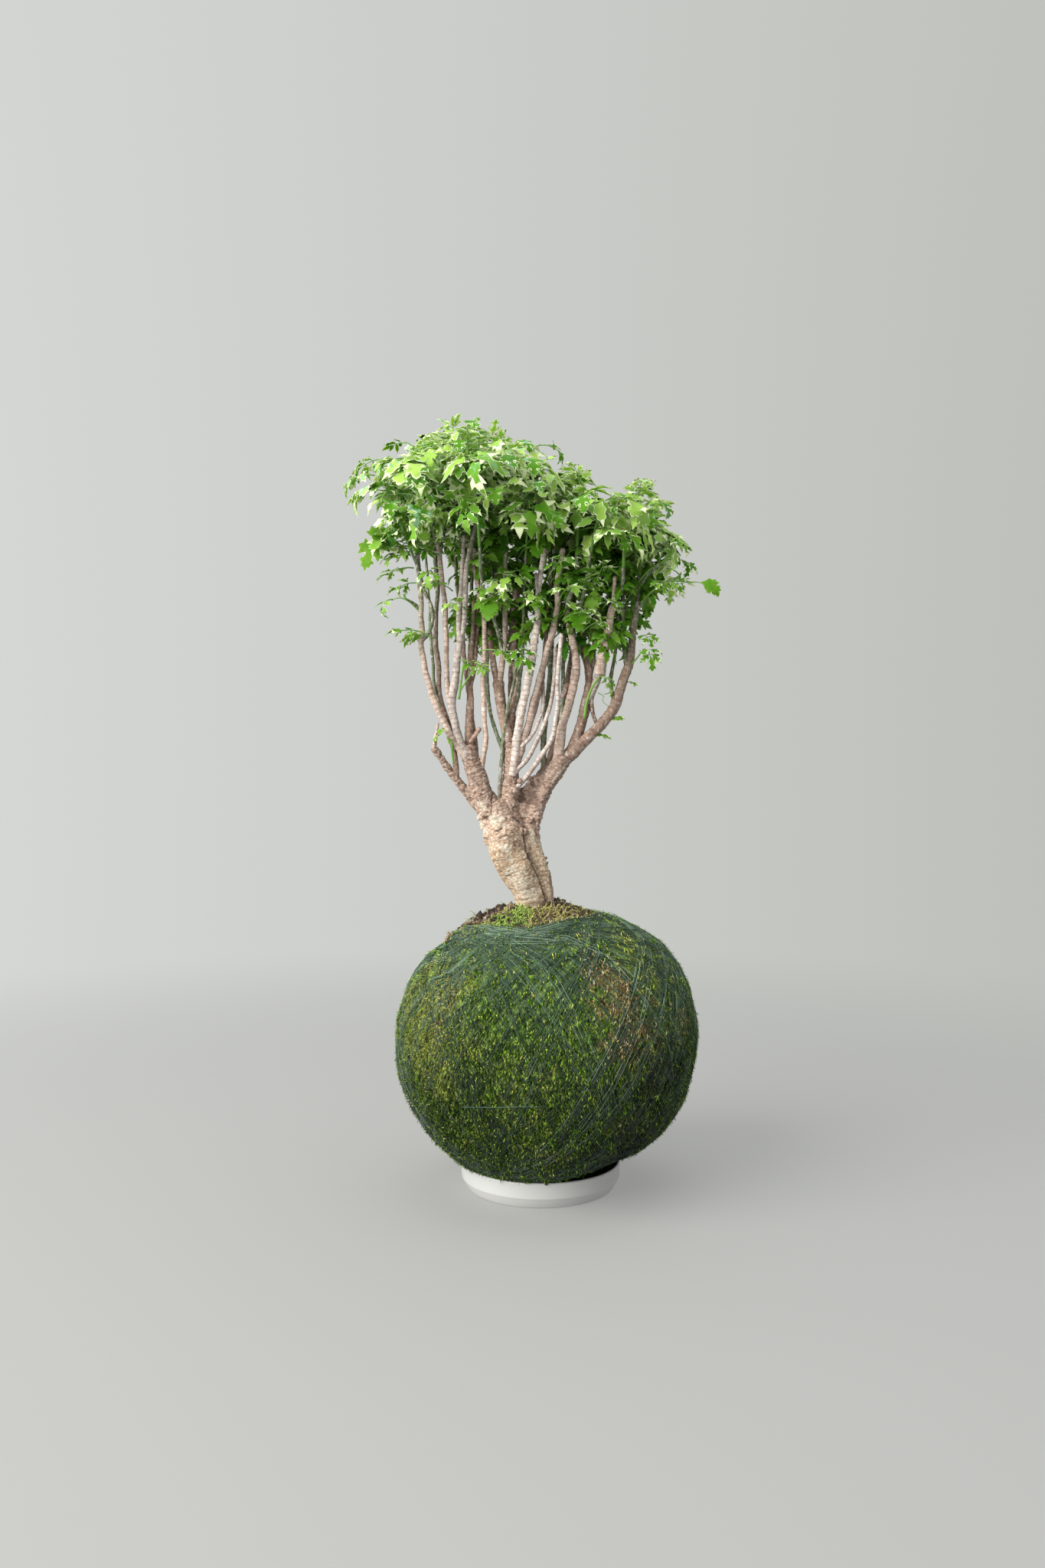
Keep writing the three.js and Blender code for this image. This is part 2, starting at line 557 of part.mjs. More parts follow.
// Half outline of a blade: two leaflets cut to the rib, each with two points, and half of the end leaflet
const HALF_OUTLINE = [
  [0.38, 0], [0.35, 0.74], [0.56, 1], [0.6, 0], [0.6, 0.68], [0.79, 0.84], [0.78, 0], [0.86, 0.36],
];

function bladeOutline(leaf, spare) {
  const side = (sign) => HALF_OUTLINE.map(([u, v]) => {
    const half = v === 0 ? LEAF.petioleHalf + spare : v * leaf.half + spare;
    return new THREE.Vector2(u * leaf.length, sign * half);
  });
  const root = LEAF.petioleHalf + spare;
  return [
    new THREE.Vector2(0, -root), ...side(-1), new THREE.Vector2(leaf.length + spare, 0),
    ...side(1).reverse(), new THREE.Vector2(0, root),
  ];
}

function leafSolid(leaf, spare) {
  const shape = new THREE.Shape(bladeOutline(leaf, spare));
  const depth = LEAF.thickness + 2 * spare;
  const geometry = new THREE.ExtrudeGeometry(shape, { depth, bevelEnabled: false });
  const place = geometry.attributes.position;
  for (let i = 0; i < place.count; i += 1) {
    const point = leafPoint(leaf, place.getX(i), place.getY(i), place.getZ(i) - depth / 2);
    place.setXYZ(i, point.x, point.y, point.z);
  }
  return toSolid(geometry);
}

// Places on a leaf that are tried against the crown's outline: tip, leaflets and rib
const TRIED_PLACES = [[1, 0], [0.58, 1], [0.58, -1], [0.5, 0], [0.8, 0.78], [0.8, -0.78]];

// Whether a leaf stays inside the crown's outline as seen from the front
function insideCrown(leaf) {
  return TRIED_PLACES.every(([u, v]) => {
    const spot = leafPoint(leaf, u * leaf.length, v * leaf.half, 0);
    const reach = 1 + spot.y / SIGHT.distance;
    const x = SIGHT.x + (spot.x - SIGHT.x) / reach;
    const z = SIGHT.z + (spot.z - SIGHT.z) / reach;
    return x > CROWN_SIDE.left && x < CROWN_SIDE.right && z < along(CROWN_TOP, x) && z > along(CROWN_LOW, x);
  });
}

function boxesMeet(a, b) {
  return [0, 1, 2].every((k) => a.min[k] <= b.max[k] && b.min[k] <= a.max[k]);
}

function clearOf(solid, others) {
  const box = solid.boundingBox();
  return others.every((other) => !boxesMeet(box, other.box) || solid.intersect(other.solid).isEmpty());
}

function bareShoot(stem, index) {
  const line = shootLine(stem);
  const points = [0, 0.5, 1].map((t) => line.getPointAt(t));
  const endRadius = stem[1][stem[1].length - 1];
  const solid = taperedTube(points, [endRadius * SHOOT.footShare, SHOOT.tipRadius], 4, 2);
  const plan = leafPlan(index, line, stem[4] !== CROWN);
  return { name: `shoot_${stem[0]}`, solid, plan, box: solid.boundingBox(), leaves: [] };
}

// Shoots with the leaves that have room: the outward places first, and of the shoots the barest first
function leafyShoots(trunk) {
  const shoots = STEMS.flatMap((stem, index) => (stem[4] === CUT ? [] : [bareShoot(stem, index)]));
  const taken = [{ solid: trunk, box: trunk.boundingBox() }];
  let left = LEAF_BUDGET;
  for (let place = 0; place < LEAF_PLACES.length; place += 1) {
    for (const shoot of [...shoots].sort((a, b) => a.leaves.length - b.leaves.length)) {
      const leaf = shoot.plan[place];
      if (left === 0 || !insideCrown(leaf)) continue;
      const wide = leafSolid(leaf, TEST_EXTRA);
      const others = shoots.filter((other) => other !== shoot);
      if (!clearOf(wide, taken) || !clearOf(wide, others)) continue;
      taken.push({ solid: wide, box: wide.boundingBox() });
      shoot.leaves.push(leafSolid(leaf, 0));
      left -= 1;
    }
  }
  return shoots;
}

const plant = new THREE.Group();
const trunk = trunkSolid();
plant.add(toMesh(saucerSolid(), 'saucer', COLOURS.saucer));
plant.add(toMesh(soilSolid(), 'soil_core', COLOURS.soil));
plant.add(toMesh(mossSolid(), 'moss_layer', COLOURS.moss));
plant.add(toMesh(tuftSolid(), 'mound_moss', COLOURS.tuft));
plant.add(toMesh(threadSolid(), 'thread_winding', COLOURS.thread));
plant.add(toMesh(trunk, 'trunk', COLOURS.bark));
for (const { name, solid, leaves } of leafyShoots(trunk)) {
  const whole = leaves.reduce((sum, leaf) => sum.add(leaf), solid);
  plant.add(toMesh(whole, name, COLOURS.leaf));
}

export default plant;
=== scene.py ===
"""Looks of the kokedama: an aralia on a thread-bound moss ball in a white saucer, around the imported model."""

import math

import bpy
import numpy as np
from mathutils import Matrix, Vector, noise
from mathutils.bvhtree import BVHTree
from mathutils.geometry import delaunay_2d_cdt
from mathutils.kdtree import KDTree


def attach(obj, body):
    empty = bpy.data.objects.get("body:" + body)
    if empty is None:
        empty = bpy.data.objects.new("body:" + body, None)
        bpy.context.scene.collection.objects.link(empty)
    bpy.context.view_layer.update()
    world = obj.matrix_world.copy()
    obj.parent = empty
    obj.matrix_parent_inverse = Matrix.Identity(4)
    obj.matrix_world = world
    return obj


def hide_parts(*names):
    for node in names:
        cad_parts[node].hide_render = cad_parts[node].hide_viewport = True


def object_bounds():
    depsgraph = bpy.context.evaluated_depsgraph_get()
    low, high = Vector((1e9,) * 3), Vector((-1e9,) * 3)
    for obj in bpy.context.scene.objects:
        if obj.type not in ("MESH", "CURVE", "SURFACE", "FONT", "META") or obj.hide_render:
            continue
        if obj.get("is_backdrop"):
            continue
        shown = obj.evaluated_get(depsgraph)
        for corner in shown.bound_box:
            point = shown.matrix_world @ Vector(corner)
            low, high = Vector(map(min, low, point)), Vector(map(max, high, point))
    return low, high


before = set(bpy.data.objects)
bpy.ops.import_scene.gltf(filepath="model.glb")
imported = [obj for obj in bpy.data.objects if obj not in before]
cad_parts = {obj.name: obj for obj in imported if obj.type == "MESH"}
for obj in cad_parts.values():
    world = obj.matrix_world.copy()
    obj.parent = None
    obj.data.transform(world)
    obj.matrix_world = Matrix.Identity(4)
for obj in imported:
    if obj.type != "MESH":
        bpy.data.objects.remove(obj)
cad_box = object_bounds()
bpy.ops.object.select_all(action="DESELECT")

# Millimetres to metres
MM = 0.001

# Saucer, as radii and heights
SAUCER = {
    "foot": 59, "step": 64.5, "step_z": 8, "rim": 65, "rim_z": 21, "wall": 2.5, "floor": 56, "floor_z": 4,
}

# Moss ball: a round body, flatter above its widest level than below it
BALL = {
    "radius": 121, "middle_z": 122, "low_half": 117.7, "high_half": 98, "low_power": 1.05, "high_power": 0.72,
}
BALL_LEAN = {"middle": 4.7, "slope": 5, "bow": -1}
MOSS_THICKNESS = 7
SEAT_GAP = 0.35
LOWEST_RISE = -math.cos(0.25)
OPENING_RISE = 0.946
OPENING_BLEND = {"from": 0.75, "over": 0.2}
MOUND = {"x": -8, "top_z": 228, "edge_radius": 49, "bow": 0.0056}

# The camera's place, which is also the eye point of the stems' points
SIGHT = {"x": -14.8, "z": 327.6, "distance": 1000}
LENS = 27.98

# Each stem: name, radii from foot to tip, depth at foot and tip, points (x, z) seen from the front, growth of
# its leafy shoot (none where it is cut, up into the crown, or the length of a short spray), and its bark
CUT = 0
CROWN = 1
CREAM, PINK, BROWN, GREY, GREEN = range(5)
STEMS = (
    ("trunk_main", (12, 13, 15.5, 17, 16), (-4, -3),
     ((-7.5, 228.8), (-10, 240), (-17, 255), (-25, 271), (-30, 290)), CUT, CREAM),
    ("trunk_side", (4.4, 5, 6, 7), (-2, 0), ((7, 228.8), (6, 238), (3, 252), (-3, 268), (-9, 290)), CUT,
     CREAM),
    ("crotch", (16, 14, 11), (-3, -1), ((-30, 284), (-31, 298), (-38, 311)), CUT, CREAM),
    ("limb_left", (11, 8, 7.5, 6), (-2, -3), ((-40, 304), (-48, 320), (-53, 336), (-58, 350), (-60, 360)),
     CUT, CREAM),
    ("limb_middle", (13, 8, 5.5, 4.6), (0, 1),
     ((-25, 288), (-25, 312), (-24.5, 334), (-25.5, 354), (-26.5, 370)), CUT, PINK),
    ("limb_back", (9, 8, 6, 4.5), (3, 8), ((-15, 290), (-12, 308), (-5, 324), (4, 338), (12, 350)), CUT,
     BROWN),
    ("limb_right", (6.5, 6, 6.3, 7), (-2, -4), ((-8, 286), (-3, 308), (4, 324), (12, 338), (19, 350)), CUT,
     PINK),
    ("far_left", (4.2, 3.2, 2.6), (0, -8), ((-46, 303), (-60, 320), (-74, 338), (-82, 349), (-88, 358)),
     CUT, PINK),
    ("far_left_tip", (1.9, 1.3), (-8, -9), ((-87.5, 356), (-86, 365), (-84.2, 378)), CUT, PINK),
    ("outer_left", (3, 2.3, 1.9), (-6, -14),
     ((-59, 347), (-70, 361), (-80, 380), (-88.5, 400), (-94.5, 421), (-97.5, 438), (-97.2, 456),
      (-98.6, 480), (-100, 505), (-101.5, 524)), CROWN, PINK),
    ("hooked", (1.8, 1.2), (-9, -24),
     ((-97.2, 445), (-92, 452), (-89, 461), (-90, 474), (-95, 486), (-100, 503), (-105, 516)), CROWN, GREEN),
    ("dark_left", (2.6, 2.2, 1.8), (-2, 22),
     ((-69, 331), (-70, 350), (-76, 377), (-82, 398), (-84.3, 424), (-86, 456), (-84.6, 485), (-87, 520)),
     CROWN, BROWN),
    ("green_left", (1.5, 1.2), (0.5, 34),
     ((-79, 388), (-86, 402), (-88, 425), (-90.5, 450), (-91.5, 480), (-94, 512)), CROWN, GREEN),
    ("thin_left", (2.4, 2), (-6, -10),
     ((-62, 354), (-68, 372), (-74, 391), (-76.8, 414), (-77.4, 444), (-78, 470), (-81, 495), (-83, 519)),
     CUT, PINK),
    ("thin_left_a", (1.8, 1.3), (-10, -16), ((-83, 516), (-86, 527), (-89, 541)), CROWN, GREY),
    ("thin_left_b", (1.5, 1.2), (-10, -2), ((-82.8, 516), (-80, 527), (-77, 540)), CROWN, GREEN),
    ("pale_left", (3, 3.2, 3), (-7, -12),
     ((-60, 350), (-67, 366), (-72, 388), (-70.6, 412), (-67.8, 432), (-65, 451)), CUT, GREY),
    ("pale_left_a", (2.2, 1.7), (-12, -12),
     ((-66, 445), (-67.6, 460), (-65.6, 480), (-65, 500), (-62.6, 532)), CUT, GREY),
    ("pale_left_b", (2.5, 2.2, 1.6), (-12, -16),
     ((-65, 446), (-62.2, 462), (-61.7, 490), (-58.4, 520), (-52, 546)), CROWN, GREY),
    ("brown_left", (3.6, 3, 2.6), (-2, 3), ((-59, 350), (-59, 368), (-58, 390), (-58.6, 409)), CUT, BROWN),
    ("brown_left_a", (2.1, 1.8), (3, 10), ((-58.6, 404), (-57, 426), (-55.4, 455), (-54.5, 478)), CUT,
     BROWN),
    ("brown_left_b", (1.8, 1.3), (3, 22), ((-58, 406), (-53.5, 426), (-52, 456), (-51, 488), (-49, 520)),
     CROWN, BROWN),
    ("brown_left_c", (2, 1.4), (3, 48), ((-59, 404), (-62, 424), (-64, 452), (-68, 490), (-70, 520)), CROWN,
     BROWN),
    ("stub_left", (2.1, 1.7), (-4, -6), ((-58, 361), (-53.5, 368), (-49.6, 374)), CUT, BROWN),
    ("gap_stem", (2.3, 2, 1.9), (-4, -8),
     ((-50, 333), (-47, 349), (-45, 366), (-46.8, 396), (-46.6, 430), (-46.2, 460), (-50.5, 486),
      (-54.6, 506), (-55, 521)), CUT, PINK),
    ("thin_inner", (1.7, 1.3), (0, 30),
     ((-29, 348), (-34, 364), (-41, 386), (-44, 410), (-42, 445), (-40, 485), (-38, 520)), CROWN, GREEN),
    ("thick_inner", (4.6, 4.6, 4.2), (0, 2), ((-26, 362), (-30, 382), (-34, 404), (-34.6, 413)), CUT, BROWN),
    ("thick_inner_a", (2.8, 1.8), (2, 26), ((-35, 407), (-39.4, 430), (-41.5, 455), (-36, 490), (-30, 525)),
     CROWN, BROWN),
    ("thick_inner_b", (2.7, 2.3, 1.8), (1, -3),
     ((-34, 407), (-31.6, 428), (-29.4, 456), (-28.8, 490), (-28.5, 526)), CROWN, PINK),
    ("slant_inner", (1.8, 1.3), (-1, -30), ((-31.6, 436), (-35, 452), (-42, 471), (-47.5, 490), (-50, 522)),
     CROWN, GREEN),
    ("middle_dark", (4.2, 3.3, 3.3, 2.6), (2, 20),
     ((-26, 362), (-24, 386), (-19.5, 411), (-22.6, 440), (-21.6, 466), (-17, 498)), CUT, BROWN),
    ("middle_dark_top", (2, 1.5), (20, 30), ((-17, 495), (-13, 512), (-10, 530)), CROWN, GREEN),
    ("middle_pale", (3.4, 3.2, 3.5, 2.5, 2), (-6, -10),
     ((-23, 334), (-19, 367), (-14, 394), (-7.6, 427), (-3, 458), (-1.4, 488), (3, 521)), CUT, GREY),
    ("middle_stub", (1.6, 1.3), (-10, -11), ((-1.6, 484), (-3.4, 493), (-3.6, 501)), CUT, GREY),
    ("middle_bend", (3, 2.7, 2.5, 2.1), (-4, -8),
     ((-20, 343), (-12, 369), (-3.6, 403), (5, 435), (13, 466), (14.2, 492), (18.3, 521)), CUT, PINK),
    ("middle_brown", (2.3, 1.6), (-3, 22),
     ((-12, 366), (-1, 402), (2.8, 430), (5, 460), (8, 495), (8, 520)), CROWN, BROWN),
    ("middle_green", (2.5, 1.5), (6, 46), ((3, 338), (2, 362), (6.5, 404), (9, 440), (12, 480), (14, 512)),
     CROWN, GREEN),
    ("front_green", (1.5, 1.2), (2, -4), ((-22.5, 384), (-17.6, 405), (-15.2, 434), (-14, 470), (-12, 514)),
     CROWN, GREEN),
    ("front_pale", (2.1, 1.6), (-11, -17),
     ((-21.5, 322), (-11.5, 334), (-0.5, 349.5), (9, 364), (13, 384), (14.2, 416), (17.3, 451)), CUT, GREY),
    ("front_knob", (5, 3.2), (-3, -12), ((-25, 312), (-23, 319), (-20.5, 325)), CUT, CREAM),
    ("front_second", (2, 1.4), (-6.5, -3),
     ((-21.5, 336), (-9, 351.5), (0, 370.5), (7.5, 389), (11, 412), (12, 440)), CUT, GREY),
    ("front_third", (1.7, 1.3), (-7, 2), ((-16, 358), (-8.5, 366), (-1, 380), (1.8, 394), (2, 412)), CUT,
     GREY),
    ("green_gap", (1.7, 1.2), (-3, -5),
     ((-34, 310), (-32.6, 340), (-30.6, 366), (-27.3, 388), (-22, 411), (-19.6, 438)), CUT, GREEN),
    ("right_dark", (1.8, 1.4), (-2, 34), ((15.5, 362), (17.5, 388), (18.5, 420), (20, 460), (21, 500)),
     CROWN, GREEN),
    ("right_knot", (2.4, 2.8), (1, 3), ((17.8, 398), (20.5, 405), (23, 410)), CUT, BROWN),
    ("right_pale", (4.6, 3.4, 3.3, 2.5), (-4, -8),
     ((14, 343), (17, 370), (25, 400), (29.4, 424), (26.5, 444), (20.8, 470)), CUT, PINK),
    ("right_pale_top", (2.4, 1.6), (-7, -4), ((21.2, 466), (24, 480), (28.4, 492), (30, 522)), CROWN, GREEN),
    ("right_fork", (1.5, 1.2), (-7, -18), ((25, 452), (30, 461), (34, 476), (38, 500), (41, 516)), CROWN,
     GREEN),
    ("right_brown", (4, 3.2, 2.4, 1.8), (0, 22),
     ((20, 348), (30, 368), (36, 394), (39.5, 418), (35, 440), (34.6, 480), (35, 512)), CROWN, BROWN),
    ("right_branch", (2.1, 1.4), (8, 36), ((38.6, 408), (43, 428), (45, 458), (48, 492), (50, 512)), CROWN,
     BROWN),
    ("sweep_right", (6, 4.6, 4.2, 4, 3, 2.2, 1.7), (-2, 16),
     ((19, 347), (36, 363), (52, 379), (62, 394), (67, 411), (74, 432), (76.2, 452), (79.2, 475), (81, 498)),
     CROWN, BROWN),
    ("sweep_fork", (1.9, 1.4), (5, 26), ((70.6, 423), (68.3, 443), (67.5, 478), (70, 506)), CROWN, GREEN),
    ("loop_right", (1.7, 1.2), (1, 8), ((47, 375), (43, 386), (42, 400), (44, 414)), CUT, BROWN),
    ("tall_foot", (2.6, 3.4), (4, -6), ((37, 394), (43, 405), (49.4, 421)), CUT, GREY),
    ("tall_right", (4.5, 4, 3.6, 2.3), (-6, -8), ((48.6, 417), (53, 441), (57, 464), (59.4, 475)), CUT,
     PINK),
    ("tall_top", (2.2, 1.5), (-8, -8), ((59, 472), (62, 481), (67, 489), (68, 505)), CROWN, GREEN),
    ("tall_stub", (1.8, 1.5), (-8, -8), ((59.4, 473), (60, 486), (61, 498)), CUT, PINK),
    ("green_right", (1.6, 1.2), (1, 30), ((60, 391), (58, 416), (62, 440), (64, 476), (62, 505)), CROWN,
     GREEN),
    ("arm_right", (1.5, 1.1), (11, 10), ((78.8, 470), (88, 481), (99, 491), (110, 496)), 8, GREEN),
    ("arm_upper", (1.3, 1.1), (13.8, -2), ((80.4, 488), (88, 499), (98, 508)), 20, GREEN),
    ("arm_left", (1.2, 1), (-10.5, -16), ((-98, 469), (-103, 475), (-108, 478)), 8, GREEN),
    ("back_left", (2.6, 1.6), (0, 50), ((-50, 326), (-56, 380), (-58, 440), (-56, 500)), CROWN, BROWN),
    ("back_middle", (2.6, 1.6), (4, 60), ((-20, 330), (-24, 380), (-24, 440), (-20, 500)), CROWN, BROWN),
    ("back_right", (2.6, 1.6), (6, 54), ((4, 336), (16, 380), (26, 440), (28, 495)), CROWN, BROWN),
    ("back_far_right", (2.4, 1.5), (2, 46), ((30, 358), (42, 400), (54, 450), (58, 492)), CROWN, BROWN),
)

# Shoots: how far they stay below the crown's outline, and less so at the back, and how they spread outwards
SHOOT = {"below": 20, "back_share": 0.3, "straight": 0.45, "spread": 0.0045, "gap": 0.3, "tip_radius": 0.7}

# Leaves in millimetres and degrees, a pair being the least value and the most that a draw adds to it
LEAF = {
    "length": (48, 18), "small_length": (32, 18), "half_share": (0.3, 0.08), "rise": (8, 50), "top_rise": 14,
    "fall": (60, 40), "turn_spread": 44, "roll_spread": 30, "droop": 0.009,
}
SEED = {"first": 4001, "step": 613, "factor": 16807, "period": 2147483647}

# Leaf places on a shoot: the share of its height, and the turn from its outward side
LEAF_PLACES = (
    (1, 0), (0.82, 48), (0.88, -52), (0.62, -8), (0.95, 110), (0.72, -115), (0.42, 30), (0.97, 180),
    (0.5, -70), (0.56, 84), (0.3, -20), (0.66, 170),
)
# Young upright leaves that only show here: height, turn, rise in degrees and length
YOUNG_LEAVES = (
    (1.0, 20, 74, 30), (1.0, -95, 62, 26), (0.96, 140, 66, 28), (0.9, 60, 52, 32), (0.86, -40, 48, 34),
)
YOUNG = {"turn_spread": 50, "length_share": (0.8, 0.4), "fall": 40, "half_share": 0.4}

# Crown: its upper and lower edge seen from the front, and the middle that its leaves turn away from
CROWN_MIDDLE = (-10, 8)
CROWN_DEPTH = 80
# Waves of the crown's outline: their height, run and shift
CROWN_UNEVEN = ((6, 4.6, 0.5), (4, 2.1, 2))
CROWN_TOP = (
    (-162, 570), (-150, 586), (-135, 594), (-110, 612), (-78, 628), (-59, 633), (-37, 620), (0, 605),
    (28, 589), (41, 579), (51, 561), (60, 565), (68, 580), (86, 586), (95, 577), (100, 560), (110, 541),
    (114, 516), (121, 503), (128, 488), (146, 470),
)
CROWN_LOW = (
    (-162, 540), (-147, 546), (-137, 546), (-131, 536), (-124, 500), (-110, 462), (-102, 500), (72, 498),
    (85, 470), (146, 455),
)
CROWN_SIDE = (-160, 146)
TRIED_PLACES = ((1, 0), (0.58, 1), (0.58, -1), (0.5, 0), (0.8, 0.78), (0.8, -0.78))


def unit(vectors):
    return vectors / np.maximum(np.linalg.norm(vectors, axis=-1, keepdims=True), 1e-9)


def shared(value, low, high):
    """How far value is from low to high, eased at both ends."""
    share = np.clip((value - low) / (high - low), 0, 1)
    return share * share * (3 - 2 * share)


def turned(a, b, angle):
    """Two coordinates turned by an angle."""
    return a * math.cos(angle) - b * math.sin(angle), a * math.sin(angle) + b * math.cos(angle)


def draws(seed):
    """Even draws from 0 to 1, the same ones that the solids' leaves are placed by."""
    state = seed
    while True:
        state = state * SEED["factor"] % SEED["period"]
        yield state / SEED["period"]


def lumps(points, size, seed):
    """Smooth lumps from -1 to 1 of about that size, in millimetres."""
    chance = np.random.default_rng(seed)
    ways = unit(chance.normal(size=(7, 3)))
    total = np.zeros(points.shape[:-1])
    for way in ways:
        pace = 2 * math.pi / (size * chance.uniform(0.7, 1.6))
        total += np.sin(points @ way * pace + chance.uniform(0, 2 * math.pi))
    return total / 4


def layered(points, *layers):
    """Lumps laid over one another; each layer is its height, size and seed."""
    return sum(height * lumps(points, size, seed) for height, size, seed in layers)


# Mesh building


# Where two smooth faces turn by more than this, as at the edge of a thin leaf, each keeps its own shading
KNIFE_EDGE = math.radians(100)


class Shape:
    """Corners and triangles, in millimetres, with colours or other values at the corners."""

    def __init__(self):
        self.points = []
        self.faces = []
        self.looks = []
        self.count = 0

    def add(self, points, faces, look):
        """look is four values for all corners, or four for each."""
        self.points.append(points)
        self.faces.append(np.asarray(faces) + self.count)
        self.looks.append(np.broadcast_to(look, (len(points), 4)))
        self.count += len(points)

    def piece(self, name, finish, stands_for=(), smooth=True):
        points = np.concatenate(self.points) * MM
        faces = np.concatenate(self.faces)
        mesh = bpy.data.meshes.new(name)
        mesh.vertices.add(len(points))
        mesh.vertices.foreach_set("co", points.astype(np.float32).ravel())
        mesh.loops.add(faces.size)
        mesh.loops.foreach_set("vertex_index", faces.astype(np.int32).ravel())
        mesh.polygons.add(len(faces))
        mesh.polygons.foreach_set("loop_start", np.arange(0, faces.size, 3, dtype=np.int32))
        mesh.update(calc_edges=True)
        look = mesh.attributes.new("look", "FLOAT_COLOR", "POINT")
        look.data.foreach_set("color", np.concatenate(self.looks).astype(np.float32).ravel())
        mesh.validate()
        if smooth:
            mesh.shade_smooth()
            mesh.set_sharp_from_angle(angle=KNIFE_EDGE)
        mesh.materials.append(finish)
        made = bpy.data.objects.new(name, mesh)
        bpy.context.scene.collection.objects.link(made)
        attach(made, "root")
        if stands_for:
            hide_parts(*stands_for)
        return made


def grid_faces(rows, columns, closed_rows=False, closed_columns=True):
    """Triangles over a grid of corners, row by row."""
    down = np.arange(rows if closed_rows else rows - 1)
    across = np.arange(columns if closed_columns else columns - 1)
    i, j = (side.ravel() for side in np.meshgrid(down, across, indexing="ij"))
    ahead, beside = (i + 1) % rows, (j + 1) % columns
    a, b, c, d = i * columns + j, i * columns + beside, ahead * columns + beside, ahead * columns + j
    return np.concatenate([np.stack([a, b, c], 1), np.stack([a, c, d], 1)])


def smooth_line(points, step):
    """A centripetal Catmull-Rom line through points, at even distances of about step."""
    points = np.asarray(points, float)
    run = np.vstack([2 * points[0] - points[1], points, 2 * points[-1] - points[-2]])
    fine = [points[:1]]
    for k in range(len(points) - 1):
        p0, p1, p2, p3 = run[k:k + 4]
        d0, d1, d2 = (np.sum((b - a) ** 2) ** 0.25 for a, b in ((p0, p1), (p1, p2), (p2, p3)))
        m1 = ((p1 - p0) / d0 - (p2 - p0) / (d0 + d1) + (p2 - p1) / d1) * d1
        m2 = ((p2 - p1) / d1 - (p3 - p1) / (d1 + d2) + (p3 - p2) / d2) * d1
        t = np.linspace(0, 1, 25)[1:, None]
        curve = p1 + m1 * t + (3 * (p2 - p1) - 2 * m1 - m2) * t ** 2 + (2 * (p1 - p2) + m1 + m2) * t ** 3
        fine.append(curve)
    fine = np.vstack(fine)
    walked = np.concatenate([[0], np.cumsum(np.linalg.norm(np.diff(fine, axis=0), axis=1))])
    count = max(3, int(round(walked[-1] / step)) + 1)
    places = np.linspace(0, walked[-1], count)
    return np.stack([np.interp(places, walked, fine[:, k]) for k in range(3)], 1), places


def tube(line, radii, sides):
    """A closed tube round a line, with a point at each end. radii is one value a ring, or one a corner."""
    ahead = unit(np.gradient(line, axis=0))
    across = np.empty_like(line)
    across[0] = unit(np.cross(ahead[0], (0.31, 0.95, 0.1)))
    for k in range(1, len(line)):
        across[k] = across[k - 1] - ahead[k] * np.dot(across[k - 1], ahead[k])
    across = unit(across)
    above = np.cross(ahead, across)
    turn = np.arange(sides) * 2 * math.pi / sides
    around = across[:, None] * np.cos(turn)[None, :, None] + above[:, None] * np.sin(turn)[None, :, None]
    radii = np.asarray(radii, float).reshape(len(line), -1, 1)
    rings = line[:, None] + around * radii
    points = np.concatenate([rings.reshape(-1, 3), line[:1] - ahead[:1] * 0.1, line[-1:] + ahead[-1:] * 0.1])
    first, last = len(points) - 2, len(points) - 1
    j = np.arange(sides)
    beside = (j + 1) % sides
    end = (len(line) - 1) * sides
    foot = np.stack([np.full(sides, first), beside, j], 1)
    head = np.stack([np.full(sides, last), end + j, end + beside], 1)
    return points, np.concatenate([grid_faces(len(line), sides), foot, head])


# Finishes


class Number:
    """One number of a finish. Sums and products on it add Math nodes."""

    def __init__(self, finish, socket):
        self.finish = finish
        self.socket = socket

    def math(self, operation, *values):
        made = self.finish.node("ShaderNodeMath", {"operation": operation}, dict(enumerate(values)))
        return Number(self.finish, made.outputs[0])

    def __add__(self, other):
        return self.math("ADD", self, other)

    def __sub__(self, other):
        return self.math("SUBTRACT", self, other)

    def __rsub__(self, other):
        return self.math("SUBTRACT", other, self)

    def __mul__(self, other):
        return self.math("MULTIPLY", self, other)

    __radd__ = __add__
    __rmul__ = __mul__


